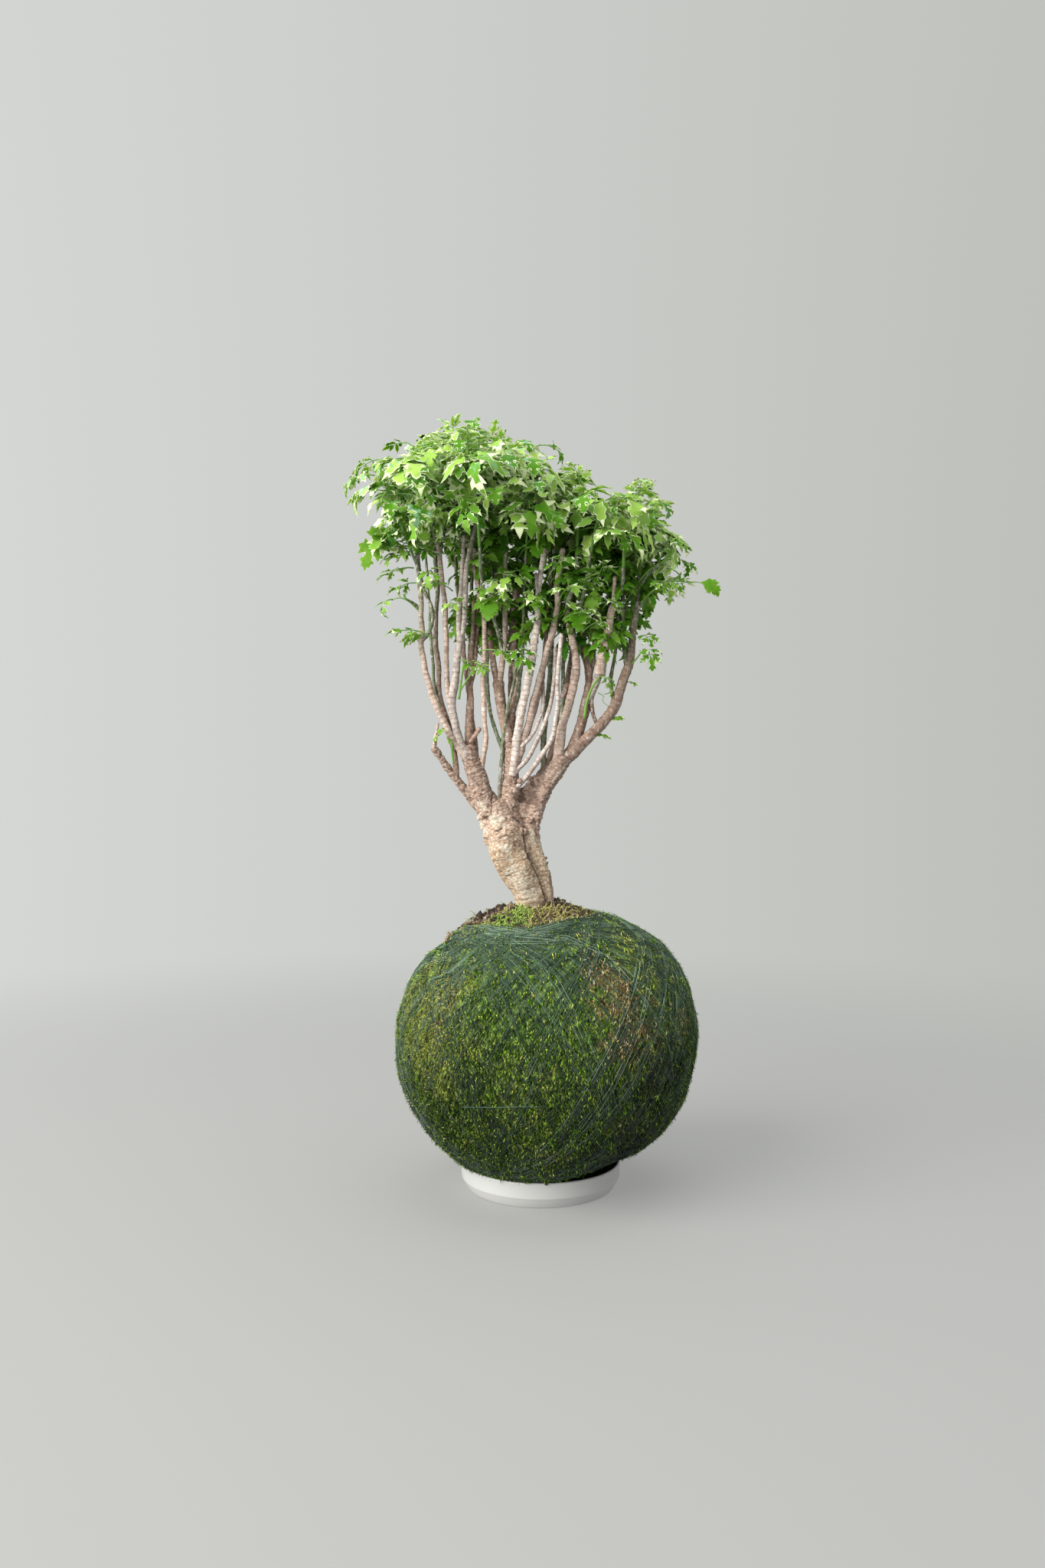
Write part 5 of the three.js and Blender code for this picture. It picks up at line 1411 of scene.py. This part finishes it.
LOBED_LEAF = (
    ((0.0, 0.02), (0.05, 0.1), (0.0, 0.2), (0.08, 0.27), (0.04, 0.39), (0.15, 0.39), (0.2, 0.53),
     (0.3, 0.45), (0.41, 0.5), (0.4, 0.38), (0.38, 0.26), (0.4, 0.13), (0.5, 0.22), (0.53, 0.37),
     (0.62, 0.33), (0.72, 0.47), (0.76, 0.35), (0.87, 0.35), (0.8, 0.23), (0.76, 0.12), (0.86, 0.17),
     (0.95, 0.25), (0.98, 0.15), (1.09, 0.14), (1.08, 0.06), (1.2, 0.0)),
    ((0.1, 0.18), (0.2, 0.32), (0.3, 0.36), (0.27, 0.13), (0.57, 0.18), (0.68, 0.3), (0.7, 0.08),
     (0.95, 0.09)),
)
MIDRIB = ((0.42, 0.0), (0.64, 0.0), (0.88, 0.0), (1.01, 0.0))


# The part of a leaflet near its foot that has no pale edge, as a share of its length
PLAIN_FOOT = 0.22


def net_in(rim, inner):
    """Points and triangles that fill a rim, and whether each point lies on the rim."""
    edges = [(k, (k + 1) % len(rim)) for k in range(len(rim))]
    points, _, faces, origins, *_ = delaunay_2d_cdt(rim + inner, edges, [], 1, 1e-5)
    return points, faces, np.array([any(k < len(rim) for k in origin) for origin in origins])


def with_teeth(rim, inner):
    """The inside points, and one more in each triangle that has all its corners on the rim, so that each
    tooth of a leaf has some thickness and a middle that isn't edge."""
    points, faces, on_rim = net_in(rim, inner)
    bare = [[points[k] for k in face] for face in faces if all(on_rim[k] for k in face)]
    return inner + [(a + b + c) / 3 for a, b, c in bare]


def leaflet_pattern(half_outline, half_inside, alike=False):
    """A leaflet's corners, faces and edge values: an upper and a lower face that meet at the cut edge.
    The lower face of a small leaflet is plainer. That of a big one is alike, so that both bend alike."""
    right = [Vector(point) for point in half_outline]
    left = [Vector((x, -y)) for x, y in reversed(half_outline[:-1])]
    rim = right + left
    spine = [Vector(point) for point in MIDRIB]
    inside = [Vector((x, side * y)) for x, y in half_inside for side in (1, -1)]
    upper = with_teeth(rim, spine + inside)
    layers, start = [], 0
    for inner, side in ((upper, 1.0), (upper if alike else spine[:2], -1.0)):
        points, faces, on_rim = net_in(rim, inner)
        flat = np.array([tuple(point) for point in points])
        face = np.array([face for face in faces if len(face) == 3])
        face = (face if side > 0 else face[:, ::-1]) + start
        layers.append((flat, np.where(on_rim, 0.0, side), on_rim * (flat[:, 0] > PLAIN_FOOT), face))
        start += len(points)
    corners, sides, pale, triangles = (np.concatenate(parts) for parts in zip(*layers))
    merged = np.column_stack([corners.round(5), sides])
    _, first, joined = np.unique(merged, axis=0, return_index=True, return_inverse=True)
    x, y = corners[first].T
    return x, y, sides[first], pale[first].astype(float), joined.reshape(-1)[triangles]


PATTERNS = {
    "cut": leaflet_pattern(*CUT_LEAFLET),
    "fan": leaflet_pattern(*FAN_LEAFLET),
    "lance": leaflet_pattern(*LANCE_LEAFLET),
    "single": leaflet_pattern(*LOBED_LEAF, alike=True),
    "broad": leaflet_pattern(*FAN_LEAFLET, alike=True),
}
# Leaflets of a leaf: place on its rib, turn from it, and length as a share of the leaf's half width
LEAFLETS = {
    "cut": ((0.42, 64, 1.22), (0.42, -64, 1.22), (0.68, 48, 1.2), (0.68, -48, 1.2), (0.78, 0, 1.32)),
    "lance": ((0.32, 66, 1.0), (0.32, -66, 1.0), (0.54, 58, 1.15), (0.54, -58, 1.15), (0.74, 42, 1.0),
              (0.74, -42, 1.0), (0.82, 0, 1.05)),
    "fan": ((0.4, 60, 1.0), (0.4, -60, 1.0), (0.64, 48, 1.05), (0.64, -48, 1.05), (0.76, 0, 1.25)),
    "single": ((0.45, 0, 1.6),),
    "broad": ((0.45, 0, 1.6),),
}
# How leaflets differ: shares of their turn and size, spreads of their angles in degrees, fold, sag and shade
LEAFLET = {
    "turn_share": (0.8, 1.2), "turn": (-9, 9), "size": (0.82, 1.12), "roll": 16, "lift": 8,
    "pitch": (-18, 24), "fold": (0.05, 0.45), "sag": (0.0, 0.4), "wave": 0.05, "waves": 9,
    "shade": (-0.14, 0.14), "half_thick": 0.2,
}
RIB = {"reach": 0.84, "short_reach": 0.5, "steps": 6, "below": 0.2, "radii": (0.6, 0.28), "sides": 4}


def add_leaf(shape, leaf, kind, tone, cream, chance):
    """A petiole and rib with leaflets along them, each tilted and folded its own way."""
    length, half = leaf["length"], leaf["half"]
    reach = RIB["short_reach" if kind in ("single", "broad") else "reach"]
    u = np.linspace(0, reach * length, RIB["steps"])
    rib = leaf_point(leaf, u, 0 * u, 0 * u - RIB["below"])
    shape.add(*tube(rib, np.linspace(*RIB["radii"], RIB["steps"]), RIB["sides"]), (0, tone, 0, 1))
    x, y, thick, pale, faces = PATTERNS[kind]
    for place, turn, share in LEAFLETS[kind]:
        angle = math.radians(turn * chance.uniform(*LEAFLET["turn_share"]) + chance.uniform(*LEAFLET["turn"]))
        size = share * half * chance.uniform(*LEAFLET["size"])
        lift = math.copysign(LEAFLET["lift"], turn) * (turn != 0)
        roll = math.radians(chance.normal(0, LEAFLET["roll"]) - lift)
        pitch = math.radians(chance.uniform(*LEAFLET["pitch"]))
        fold = chance.uniform(*LEAFLET["fold"])
        along, across = x * size, y * size
        height = thick * LEAFLET["half_thick"] + fold * np.abs(across)
        height -= chance.uniform(*LEAFLET["sag"]) * size * x * x
        height += LEAFLET["wave"] * size * np.sin(LEAFLET["waves"] * x + chance.uniform(0, 6)) * pale
        rolled, height = turned(across, height, roll)
        ahead, height = turned(along, height, pitch)
        u = place * length + ahead * math.cos(angle) - rolled * math.sin(angle)
        v = ahead * math.sin(angle) + rolled * math.cos(angle)
        shade = np.clip(tone + chance.uniform(*LEAFLET["shade"]), 0, 1)
        look = np.stack([pale, np.full_like(pale, shade), np.full_like(pale, cream), 0 * pale], 1)
        shape.add(leaf_point(leaf, u, v, height), faces, look)


# Light in the crown: how far below its top it begins and is full, how far from its middle, and what share of
# it the sides get
CROWN_LIGHT = {"below_top": (105, 25), "from_middle": (50, 120), "side_share": 0.8}
# Tone and cream of a leaf: the least, what light and the crown's left and right add to it, and the spread; the
# light and left shares are partly painted light from the upper left
LEAF_TONE = {"least": 0.31, "light": 0.56, "left": 0.07, "right": 0.18, "spread": (-0.26, 0.28)}
LEAF_CREAM = {"least": 0.01, "light": 0.22, "left": 0.35, "right": 0.14, "spread": (-0.12, 0.15)}
LEFT_BETWEEN = (-40, 70)
RIGHT_BETWEEN = (50, 90)


def crown_light(root):
    """How much light a leaf gets by its place in the crown: 0 inside or low, 1 at the top and sides."""
    begins, full = (crown_edge(CROWN_TOP, root[0]) - down for down in CROWN_LIGHT["below_top"])
    away = math.hypot(root[0] - CROWN_MIDDLE[0], root[1] - CROWN_MIDDLE[1])
    wide = shared(away, *CROWN_LIGHT["from_middle"])
    return float(max(shared(root[2], begins, full), CROWN_LIGHT["side_share"] * wide))


def leaf_tones(root, chance):
    """How bright a leaf is and how broad its cream edge is, which is broadest at the crown's upper left: partly
    the outer leaves' own paler colour, partly painted light from the upper left.
    """
    light = crown_light(root)
    left = float(shared(-root[0], *LEFT_BETWEEN))
    right = float(shared(root[0], *RIGHT_BETWEEN))
    t, c = LEAF_TONE, LEAF_CREAM
    tone = t["least"] + t["light"] * light + t["left"] * left + t["right"] * right
    tone += chance.uniform(*t["spread"])
    cream = c["least"] + light * (c["light"] + c["left"] * left + c["right"] * right)
    cream += chance.uniform(*c["spread"])
    return float(np.clip(tone, 0, 1)), float(np.clip(cream, 0, 1))


# Leaves of the shoots: their kinds, and the share that lit places lose, which is more at the crown's left. On
# the arms, which stand out lower, leaves are fewer, shorter and narrower
SHOOT_LEAVES = {
    "kinds": ("cut", "cut", "cut", "lance", "lance", "fan"), "lost": 0.3, "lost_left": 0.1, "left_of": -60,
    "arm_lost": 0.6, "arm_length": 0.7, "arm_half": 0.78, "stalk_look": (0, 0.3, 0, 0.75), "stalk_sides": 6,
}


def leafy_shoots(finish):
    """One piece for each shoot: its green stalk and the leaves that stay inside the crown."""
    s = SHOOT_LEAVES
    made = []
    for index, (name, radii, depths, points, growth, _) in enumerate(STEMS):
        if growth == CUT:
            continue
        chance = np.random.default_rng(1200 + index)
        line, places = shoot_line(depths, points, growth)
        shape = Shape()
        stalk = line[::8] if len(line) > 24 else line[::3]
        thickness = np.linspace(radii[-1], SHOOT["tip_radius"], len(stalk))
        shape.add(*tube(stalk, thickness, s["stalk_sides"]), s["stalk_look"])
        arm = name.startswith("arm")
        for leaf in leaf_plan(index, line, places, growth != CROWN):
            kind = chance.choice(s["kinds"])
            tone, cream = leaf_tones(leaf["root"], chance)
            if arm:
                leaf["length"] *= s["arm_length"]
                leaf["half"] *= s["arm_half"]
            lost = s["arm_lost"] if arm else s["lost"] + s["lost_left"] * (leaf["root"][0] < s["left_of"])
            gap = chance.random() < lost * crown_light(leaf["root"])
            if inside_crown(leaf) and not gap:
                add_leaf(shape, leaf, kind, tone, cream, chance)
        made.append(shape.piece(f"leaves_{name}", finish, (f"shoot_{name}",)))
    return made


# Small leaves low on the stems: x, z from the front, depth, bearing and rise in degrees, length
SPRIGS = (
    (-80, 372, -10, -100, 15, 9), (-83, 368, -9, -140, -10, 8), (-77, 366, -9, -40, -20, 8),
    (55, 381, 3, -20, 25, 13), (41, 368, 3, -15, 10, 14), (69, 411, 3, -10, 20, 10),
    (80, 448, 4, -60, 20, 20), (-98, 492, -10, 190, 15, 24), (-104, 505, -12, 170, 10, 26),
    (-96, 520, -12, 200, 0, 26), (-112, 516, -8, -120, 10, 24), (-88, 500, -14, -100, 20, 26),
    (96, 494, 0, -80, 10, 20), (106, 496, 0, -60, -10, 18), (-86, 447, -12, 200, 25, 26),
    (-50, 437, -12, -20, 12, 34), (-30, 436, -10, -40, 10, 30), (-44, 492, -14, -60, 25, 30),
    (2, 470, -14, -110, 50, 30), (14, 474, -16, -70, 55, 34), (18, 462, -16, -30, 35, 30),
    (-8, 486, -14, -130, 50, 34), (6, 496, -16, -60, 50, 34), (22, 486, -16, -20, 40, 30),
    (-14, 470, -12, 190, 45, 28), (54, 409, 0, 0, -30, 12), (-60, 470, -14, 230, 30, 26),
    (34, 452, -12, -40, 40, 26), (-72, 486, -14, 220, 35, 28), (50, 470, -6, -60, 45, 26),
    (-96, 452, -12, 190, 20, 24), (46, 492, -8, -80, 45, 30), (-34, 480, -10, -120, 40, 28),
    (28, 430, 10, 40, 40, 22), (-20, 450, 26, 90, 40, 26), (-60, 470, 30, 110, 40, 28),
    (30, 480, 30, 70, 40, 28),
)
SPRIG = {
    "fall": (35, 80), "half_share": 0.4, "roll": (-20, 20), "tone": (0.35, 0.75), "cream": 0.12,
    "cut_above": 16,
}
# Dark leaves deep between the stems, and at the crown's left; low ones reach less far to the right
DEEP_LEAVES = (
    {"count": 240, "x": (-58, 96), "z": (440, 540), "depth": (6, 66), "length": (26, 36), "right_low": 46,
     "lean": 0.6, "tone": (0.15, 0.6), "cream": 0.02},
    {"count": 44, "x": (-122, -62), "z": (512, 566), "depth": (-24, 44), "length": (24, 34), "right_low": 0,
     "lean": 0, "tone": (0.15, 0.8), "cream": 0.1},
)
# The bearing is in radians, the other angles are in degrees
DEEP_LEAF = {
    "bearing": (-2.5, -0.7), "rise": (10, 70), "fall": (50, 110), "half_share": 0.42, "roll": (-40, 40),
}
# Green stalks with a leaf at the end, or none: stalk (x, depth, z) and radius, then the leaf's kind, bearing,
# rise and fall in degrees, length, tone and cream
HANGING = (
    (((82, 4, 476), (96, 0, 489), (110, -4, 494), (121, -6, 493)), 0.8, "broad", -12, 10, 55, 23, 0.36, 0.0),
    (((-100, -8, 470), (-109, -10, 478), (-116, -12, 480.5), (-121, -12, 479)), 0.7, "cut", 215, 10, 120,
     17, 0.6, 0.2),
    (((-98, -10, 538), (-108, -14, 540), (-116, -16, 536)), 0.9, "single", 200, -20, 45, 30, 0.62, 0.12),
    (((-108, -6, 566), (-126, -8, 579), (-136, -9, 581)), 0.8, "cut", 190, 10, 60, 26, 0.75, 0.5),
    (((-108, -10, 558), (-122, -14, 567), (-134, -16, 569)), 0.8, "lance", 200, 10, 70, 24, 0.75, 0.5),
    (((-106, 0, 578), (-120, 0, 592), (-128, 0, 594)), 0.8, "cut", 170, 10, 60, 24, 0.6, 0.5),
    (((-96, 4, 590), (-104, 4, 604), (-110, 4, 608)), 0.7, "lance", 150, 10, 30, 18, 0.25, 0.1),
    (((-14, 4, 590), (-4, 4, 604), (0, 4, 606)), 0.8, "cut", 10, 10, 70, 22, 0.25, 0.1),
    (((74, 4, 560), (79, 4, 574), (81, 4, 578)), 0.7, "cut", 60, 10, 20, 16, 0.4, 0.3),
    (((36, -10, 381.5), (38, -10, 395), (43, -10, 408), (49, -9, 416)), 1.3, "cut", -25, 10, 110, 15, 0.6,
     0.2),
    (((-72.6, -8, 361), (-72.4, -8, 352), (-71, -8, 344)), 1.2, None, 0, 0, 0, 0, 0.4, 0),
    (((-67, -9, 397), (-65, -9, 412), (-62.5, -9, 428)), 1.1, "cut", -60, 10, 60, 18, 0.6, 0.2),
    (((-66, -9, 404), (-59, -10, 415), (-51, -10, 425)), 0.8, "lance", -70, 10, 60, 15, 0.6, 0.2),
    (((47, -4, 402.4), (52, -4, 399.5), (50.7, -4, 395.9), (56.4, -4, 390.8)), 0.35, None, 0, 0, 0, 0, 0.2,
     0),
    (((73, 3, 424), (80, 0, 432), (84, -2, 438)), 0.8, "cut", -70, 10, 90, 20, 0.5, 0.1),
    (((70, 8, 478), (88, 4, 502), (102, 0, 511), (108, -2, 512)), 0.8, "cut", -40, 10, 80, 20, 0.3, 0.1),
    (((96, 2, 506), (101, 0, 520), (104, -2, 528)), 0.7, "cut", -50, 10, 70, 22, 0.5, 0.2),
)
HANGING_LEAF = {"half_share": 0.5, "roll": 0.2, "big_roll": 1.1, "stalk_tip": 0.6, "stalk_look": 0.6}
# Big lobed leaves that hang face on at the crown's front: x, z, depth, bearing, length, tone and cream
FACING = (
    (-96, 582, -66, -100, 30, 0.35, 0.52), (-100, 551, -64, -80, 30, 0.35, 0.52),
    (-84, 596, -66, -110, 20, 0.6, 0.065), (-60, 622, -30, -70, 24, 0.4, 0.39),
    (-42, 592, -64, -60, 34, 0.35, 0.45), (-4, 590, -60, -100, 28, 0.35, 0.45),
    (-10, 572, -62, -70, 24, 0.35, 0.39), (88, 546, -24, -90, 24, 0.3, 0.2),
    (90, 556, -20, -40, 22, 0.35, 0.33), (30, 560, -50, -80, 22, 0.4, 0.33),
    (-118, 590, -40, -130, 24, 0.6, 0.33), (54, 550, -34, -70, 17, 0.2, 0.33),
    (-30, 566, -62, -120, 24, 0.5, 0.2), (10, 546, -58, -80, 22, 0.4, 0.16),
    (-70, 560, -62, -60, 24, 0.45, 0.2), (70, 526, -30, -100, 17, 0.2, 0.098),
    (-116, 556, -44, -110, 24, 0.5, 0.33), (-64, 606, -60, -100, 22, 0.4, 0.45),
    (-20, 606, -50, -60, 22, 0.4, 0.45),
)


FACING_LEAF = {"rise": 25, "fall": 95, "half_share": 0.42}


def deep_leaves(shape, chance):
    """Dark leaves that fill the crown's depth between the stems."""
    d = DEEP_LEAF
    for place in DEEP_LEAVES:
        for _ in range(place["count"]):
            x, z = chance.uniform(*place["x"]), chance.uniform(*place["z"])
            x = min(x, place["right_low"] + place["lean"] * (z - place["z"][0]))
            length = chance.uniform(*place["length"])
            root = at_depth(x, chance.uniform(*place["depth"]), z)
            bearing, rise, fall = (chance.uniform(*d[name]) for name in ("bearing", "rise", "fall"))
            roll = math.radians(chance.uniform(*d["roll"]))
            leaf = posed_leaf(root, bearing, rise, fall, length, d["half_share"] * length, roll)
            kind = chance.choice(("cut", "fan", "lance"))
            add_leaf(shape, leaf, kind, chance.uniform(*place["tone"]), place["cream"], chance)


def stem_sprigs(finish):
    """Small leaves on the stems, dark leaves deep behind them, and big ones that hang out on long stalks."""
    shape = Shape()
    chance = np.random.default_rng(1919)
    for x, z, depth, bearing, rise, length in SPRIGS:
        fall = chance.uniform(*SPRIG["fall"])
        roll = math.radians(chance.uniform(*SPRIG["roll"]))
        half = SPRIG["half_share"] * length
        leaf = posed_leaf(at_depth(x, depth, z), math.radians(bearing), rise, fall, length, half, roll)
        kind = "cut" if length > SPRIG["cut_above"] else "fan"
        add_leaf(shape, leaf, kind, chance.uniform(*SPRIG["tone"]), SPRIG["cream"], chance)
    deep_leaves(shape, chance)
    h = HANGING_LEAF
    for stalk, radius, kind, bearing, rise, fall, length, tone, cream in HANGING:
        line, _ = smooth_line([at_depth(x, depth, z) for x, depth, z in stalk], 3)
        thickness = np.linspace(radius, radius * h["stalk_tip"], len(line))
        shape.add(*tube(line, thickness, 6), (0, tone, 0, h["stalk_look"]))
        if kind:
            bearing = math.radians(bearing)
            big = kind in ("single", "broad")
            roll = math.copysign(h["big_roll"], math.cos(bearing)) if big else h["roll"]
            leaf = posed_leaf(line[-1], bearing, rise, fall, length, h["half_share"] * length, roll)
            add_leaf(shape, leaf, kind, tone, cream, chance)
    f = FACING_LEAF
    for x, z, depth, bearing, length, tone, cream in FACING:
        root, half = at_depth(x, depth, z), f["half_share"] * length
        leaf = posed_leaf(root, math.radians(bearing), f["rise"], f["fall"], length, half)
        add_leaf(shape, leaf, "single", tone, cream, chance)
    return shape.piece("stem_sprigs", finish)


# Saucer


# Sides of a round thing, the width and angle of its softened edges, and the angle below which it looks smooth
ROUND = 96
EDGE_WIDTH = 0.35
EDGE_ANGLE = math.radians(25)
SMOOTH_BELOW = math.radians(50)


def saucer(finish):
    """A round saucer spun from its outline, with softened lip, step and foot."""
    s = SAUCER
    inner = s["rim"] - s["wall"]
    outline = [
        (0, 1.2), (s["foot"] - 5.5, 1.2), (s["foot"] - 4, 0), (s["foot"] - 0.4, 0), (s["foot"] + 0.9, 0.5),
        (s["step"] - 1.1, s["step_z"] - 1.4), (s["step"] - 0.7, s["step_z"] - 0.5),
        (s["step"] - 0.1, s["step_z"] + 0.3), (s["step"] + 0.1, s["step_z"] + 2),
        (s["rim"] - 0.1, s["rim_z"] - 2.2), (s["rim"], s["rim_z"] - 1.2),
        (s["rim"] - 0.4, s["rim_z"] - 0.3), (s["rim"] - 1.2, s["rim_z"]), (inner + 0.4, s["rim_z"] - 0.3),
        (inner, s["rim_z"] - 1.2), (inner - 0.2, s["step_z"] + 3), (s["floor"] + 3.2, s["floor_z"] + 1.6),
        (s["floor"], s["floor_z"]), (0, s["floor_z"]),
    ]
    bpy.ops.mesh.primitive_plane_add(size=1)
    made = bpy.context.object
    made.name = made.data.name = "saucer_dish"
    mesh = made.data
    mesh.clear_geometry()
    edges = [(k, k + 1) for k in range(len(outline) - 1)]
    mesh.from_pydata([(x * MM, 0, z * MM) for x, z in outline], edges, [])
    bpy.ops.object.mode_set(mode="EDIT")
    bpy.ops.mesh.select_all(action="SELECT")
    bpy.ops.mesh.spin(steps=ROUND, angle=2 * math.pi, center=(0, 0, 0), axis=(0, 0, 1))
    bpy.ops.mesh.select_all(action="SELECT")
    bpy.ops.mesh.remove_doubles(threshold=1e-5)
    bpy.ops.mesh.normals_make_consistent(inside=False)
    bpy.ops.object.mode_set(mode="OBJECT")
    soft = made.modifiers.new("soft", "BEVEL")
    soft.width = EDGE_WIDTH * MM
    soft.segments = 2
    soft.limit_method = "ANGLE"
    soft.angle_limit = EDGE_ANGLE
    bpy.ops.object.modifier_apply(modifier="soft")
    bpy.ops.object.shade_smooth_by_angle(angle=SMOOTH_BELOW)
    made.data.materials.append(finish)
    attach(made, "root")
    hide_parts("saucer")
    bpy.ops.object.select_all(action="DESELECT")
    return made


# Camera, light and floor


def set_camera():
    data = bpy.data.cameras.new("eye")
    data.lens = LENS
    data.clip_start = 0.01
    camera = bpy.data.objects.new("eye", data)
    camera.location = (SIGHT["x"] * MM, -SIGHT["distance"] * MM, SIGHT["z"] * MM)
    camera.rotation_euler = (math.radians(90), 0, 0)
    bpy.context.scene.collection.objects.link(camera)
    bpy.context.scene.camera = camera


# Soft lamps in metres: name, place, size, power and colour. Both point at the plant's middle
AIM = (0, 0, 0.32)
LAMPS = (
    ("side_lamp", (-1.5, -1.15, 1.15), 2.1, 86, (1.0, 0.985, 0.95)),
    ("top_lamp", (0.1, 0.1, 2.0), 1.6, 13, (0.98, 0.99, 1.0)),
)
# The even light from all sides, and the tones that show behind the plant from left to right
GLOW = {"colour": (0.97, 0.985, 1.0, 1), "strength": 0.6}
BEHIND = {"between": (-0.4, 0.4), "tones": ((0.665, 0.675, 0.665, 1), (0.515, 0.528, 0.495, 1))}


def add_light(name, place, size, power, colour):
    data = bpy.data.lights.new(name, "AREA")
    data.shape = "DISK"
    data.size = size
    data.energy = power
    data.color = colour
    light = bpy.data.objects.new(name, data)
    light.location = place
    light.rotation_mode = "QUATERNION"
    light.rotation_quaternion = (Vector(AIM) - Vector(place)).to_track_quat("-Z", "Y")
    bpy.context.scene.collection.objects.link(light)


def set_light():
    """An even light from all sides, the tones that show behind the plant, and two soft lamps."""
    bpy.context.scene.view_settings.view_transform = "Standard"
    world = bpy.data.worlds.new("even_light")
    world.use_nodes = True
    nodes, links = world.node_tree.nodes, world.node_tree.links
    glow = nodes["Background"]
    glow.inputs["Color"].default_value = GLOW["colour"]
    glow.inputs["Strength"].default_value = GLOW["strength"]
    behind = nodes.new("ShaderNodeBackground")
    way = nodes.new("ShaderNodeTexCoord")
    parts = nodes.new("ShaderNodeSeparateXYZ")
    fade = nodes.new("ShaderNodeMapRange")
    fade.inputs["From Min"].default_value, fade.inputs["From Max"].default_value = BEHIND["between"]
    tint = nodes.new("ShaderNodeMix")
    tint.data_type = "RGBA"
    tint.inputs[6].default_value, tint.inputs[7].default_value = BEHIND["tones"]
    seen = nodes.new("ShaderNodeLightPath")
    either = nodes.new("ShaderNodeMixShader")
    for made, used in (
        (way.outputs["Generated"], parts.inputs[0]),
        (parts.outputs["X"], fade.inputs["Value"]),
        (fade.outputs[0], tint.inputs["Factor"]),
        (tint.outputs[2], behind.inputs["Color"]),
        (seen.outputs["Is Camera Ray"], either.inputs["Fac"]),
        (glow.outputs[0], either.inputs[1]),
        (behind.outputs[0], either.inputs[2]),
        (either.outputs[0], nodes["World Output"].inputs["Surface"]),
    ):
        links.new(made, used)
    bpy.context.scene.world = world
    for lamp in LAMPS:
        add_light(*lamp)


# The floor in metres: its radius and the distances over which it fades out
FLOOR = {
    "radius": 1.6, "colour": (0.18, 0.182, 0.175), "glow": (0.237, 0.239, 0.23), "roughness": 0.85,
    "fade": (0.35, 1.5),
}


def pale_floor():
    """A round pale floor that fades out into the light behind it."""
    bpy.ops.mesh.primitive_circle_add(vertices=ROUND, radius=FLOOR["radius"], fill_type="NGON")
    floor = bpy.context.object
    floor.name = "pale_floor"
    f = Finish("pale_floor")
    far = f.node("ShaderNodeVectorMath", {"operation": "LENGTH"}, {0: f.place()}).outputs["Value"]
    f.done(Base_Color=FLOOR["colour"], Roughness=FLOOR["roughness"], Emission_Color=FLOOR["glow"],
           Emission_Strength=1.0, Alpha=1 - f.eased(far, *FLOOR["fade"]))
    floor.data.materials.append(f.material)
    floor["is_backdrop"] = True
    bpy.ops.object.select_all(action="DESELECT")


set_camera()
set_light()
pale_floor()

leaf = leaf_finish()
bits = look_finish("moss_leaflets", size=0.9, dark=(0.6, 0.65, 0.55), depth=0.15, roughness=0.7, gloss=0.15)
thread = thread_finish()
saucer(glaze_finish())
soil_body(soil_finish())
crumbs(look_finish("soil_crumb", size=1.2, dark=(0.5, 0.48, 0.45), depth=0.5, roughness=0.9))
moss_shell(moss_finish())
for part, (count, seed, low_rise, high_rise) in FLECK_RUNS.items():
    moss_flecks(f"moss_flecks_{part}", bits, count, seed, low_rise, high_rise)
thread_turns(thread)
loose_threads(thread)
mound_tufts(look_finish("moss_tuft", size=1.4, dark=(0.6, 0.65, 0.5), depth=0.2, roughness=0.75))
trunk_base(bark_finish())
stem_tubes(stem_finish())
leafy_shoots(leaf)
stem_sprigs(leaf)

[[list(corner) for corner in box] for box in (cad_box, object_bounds())]
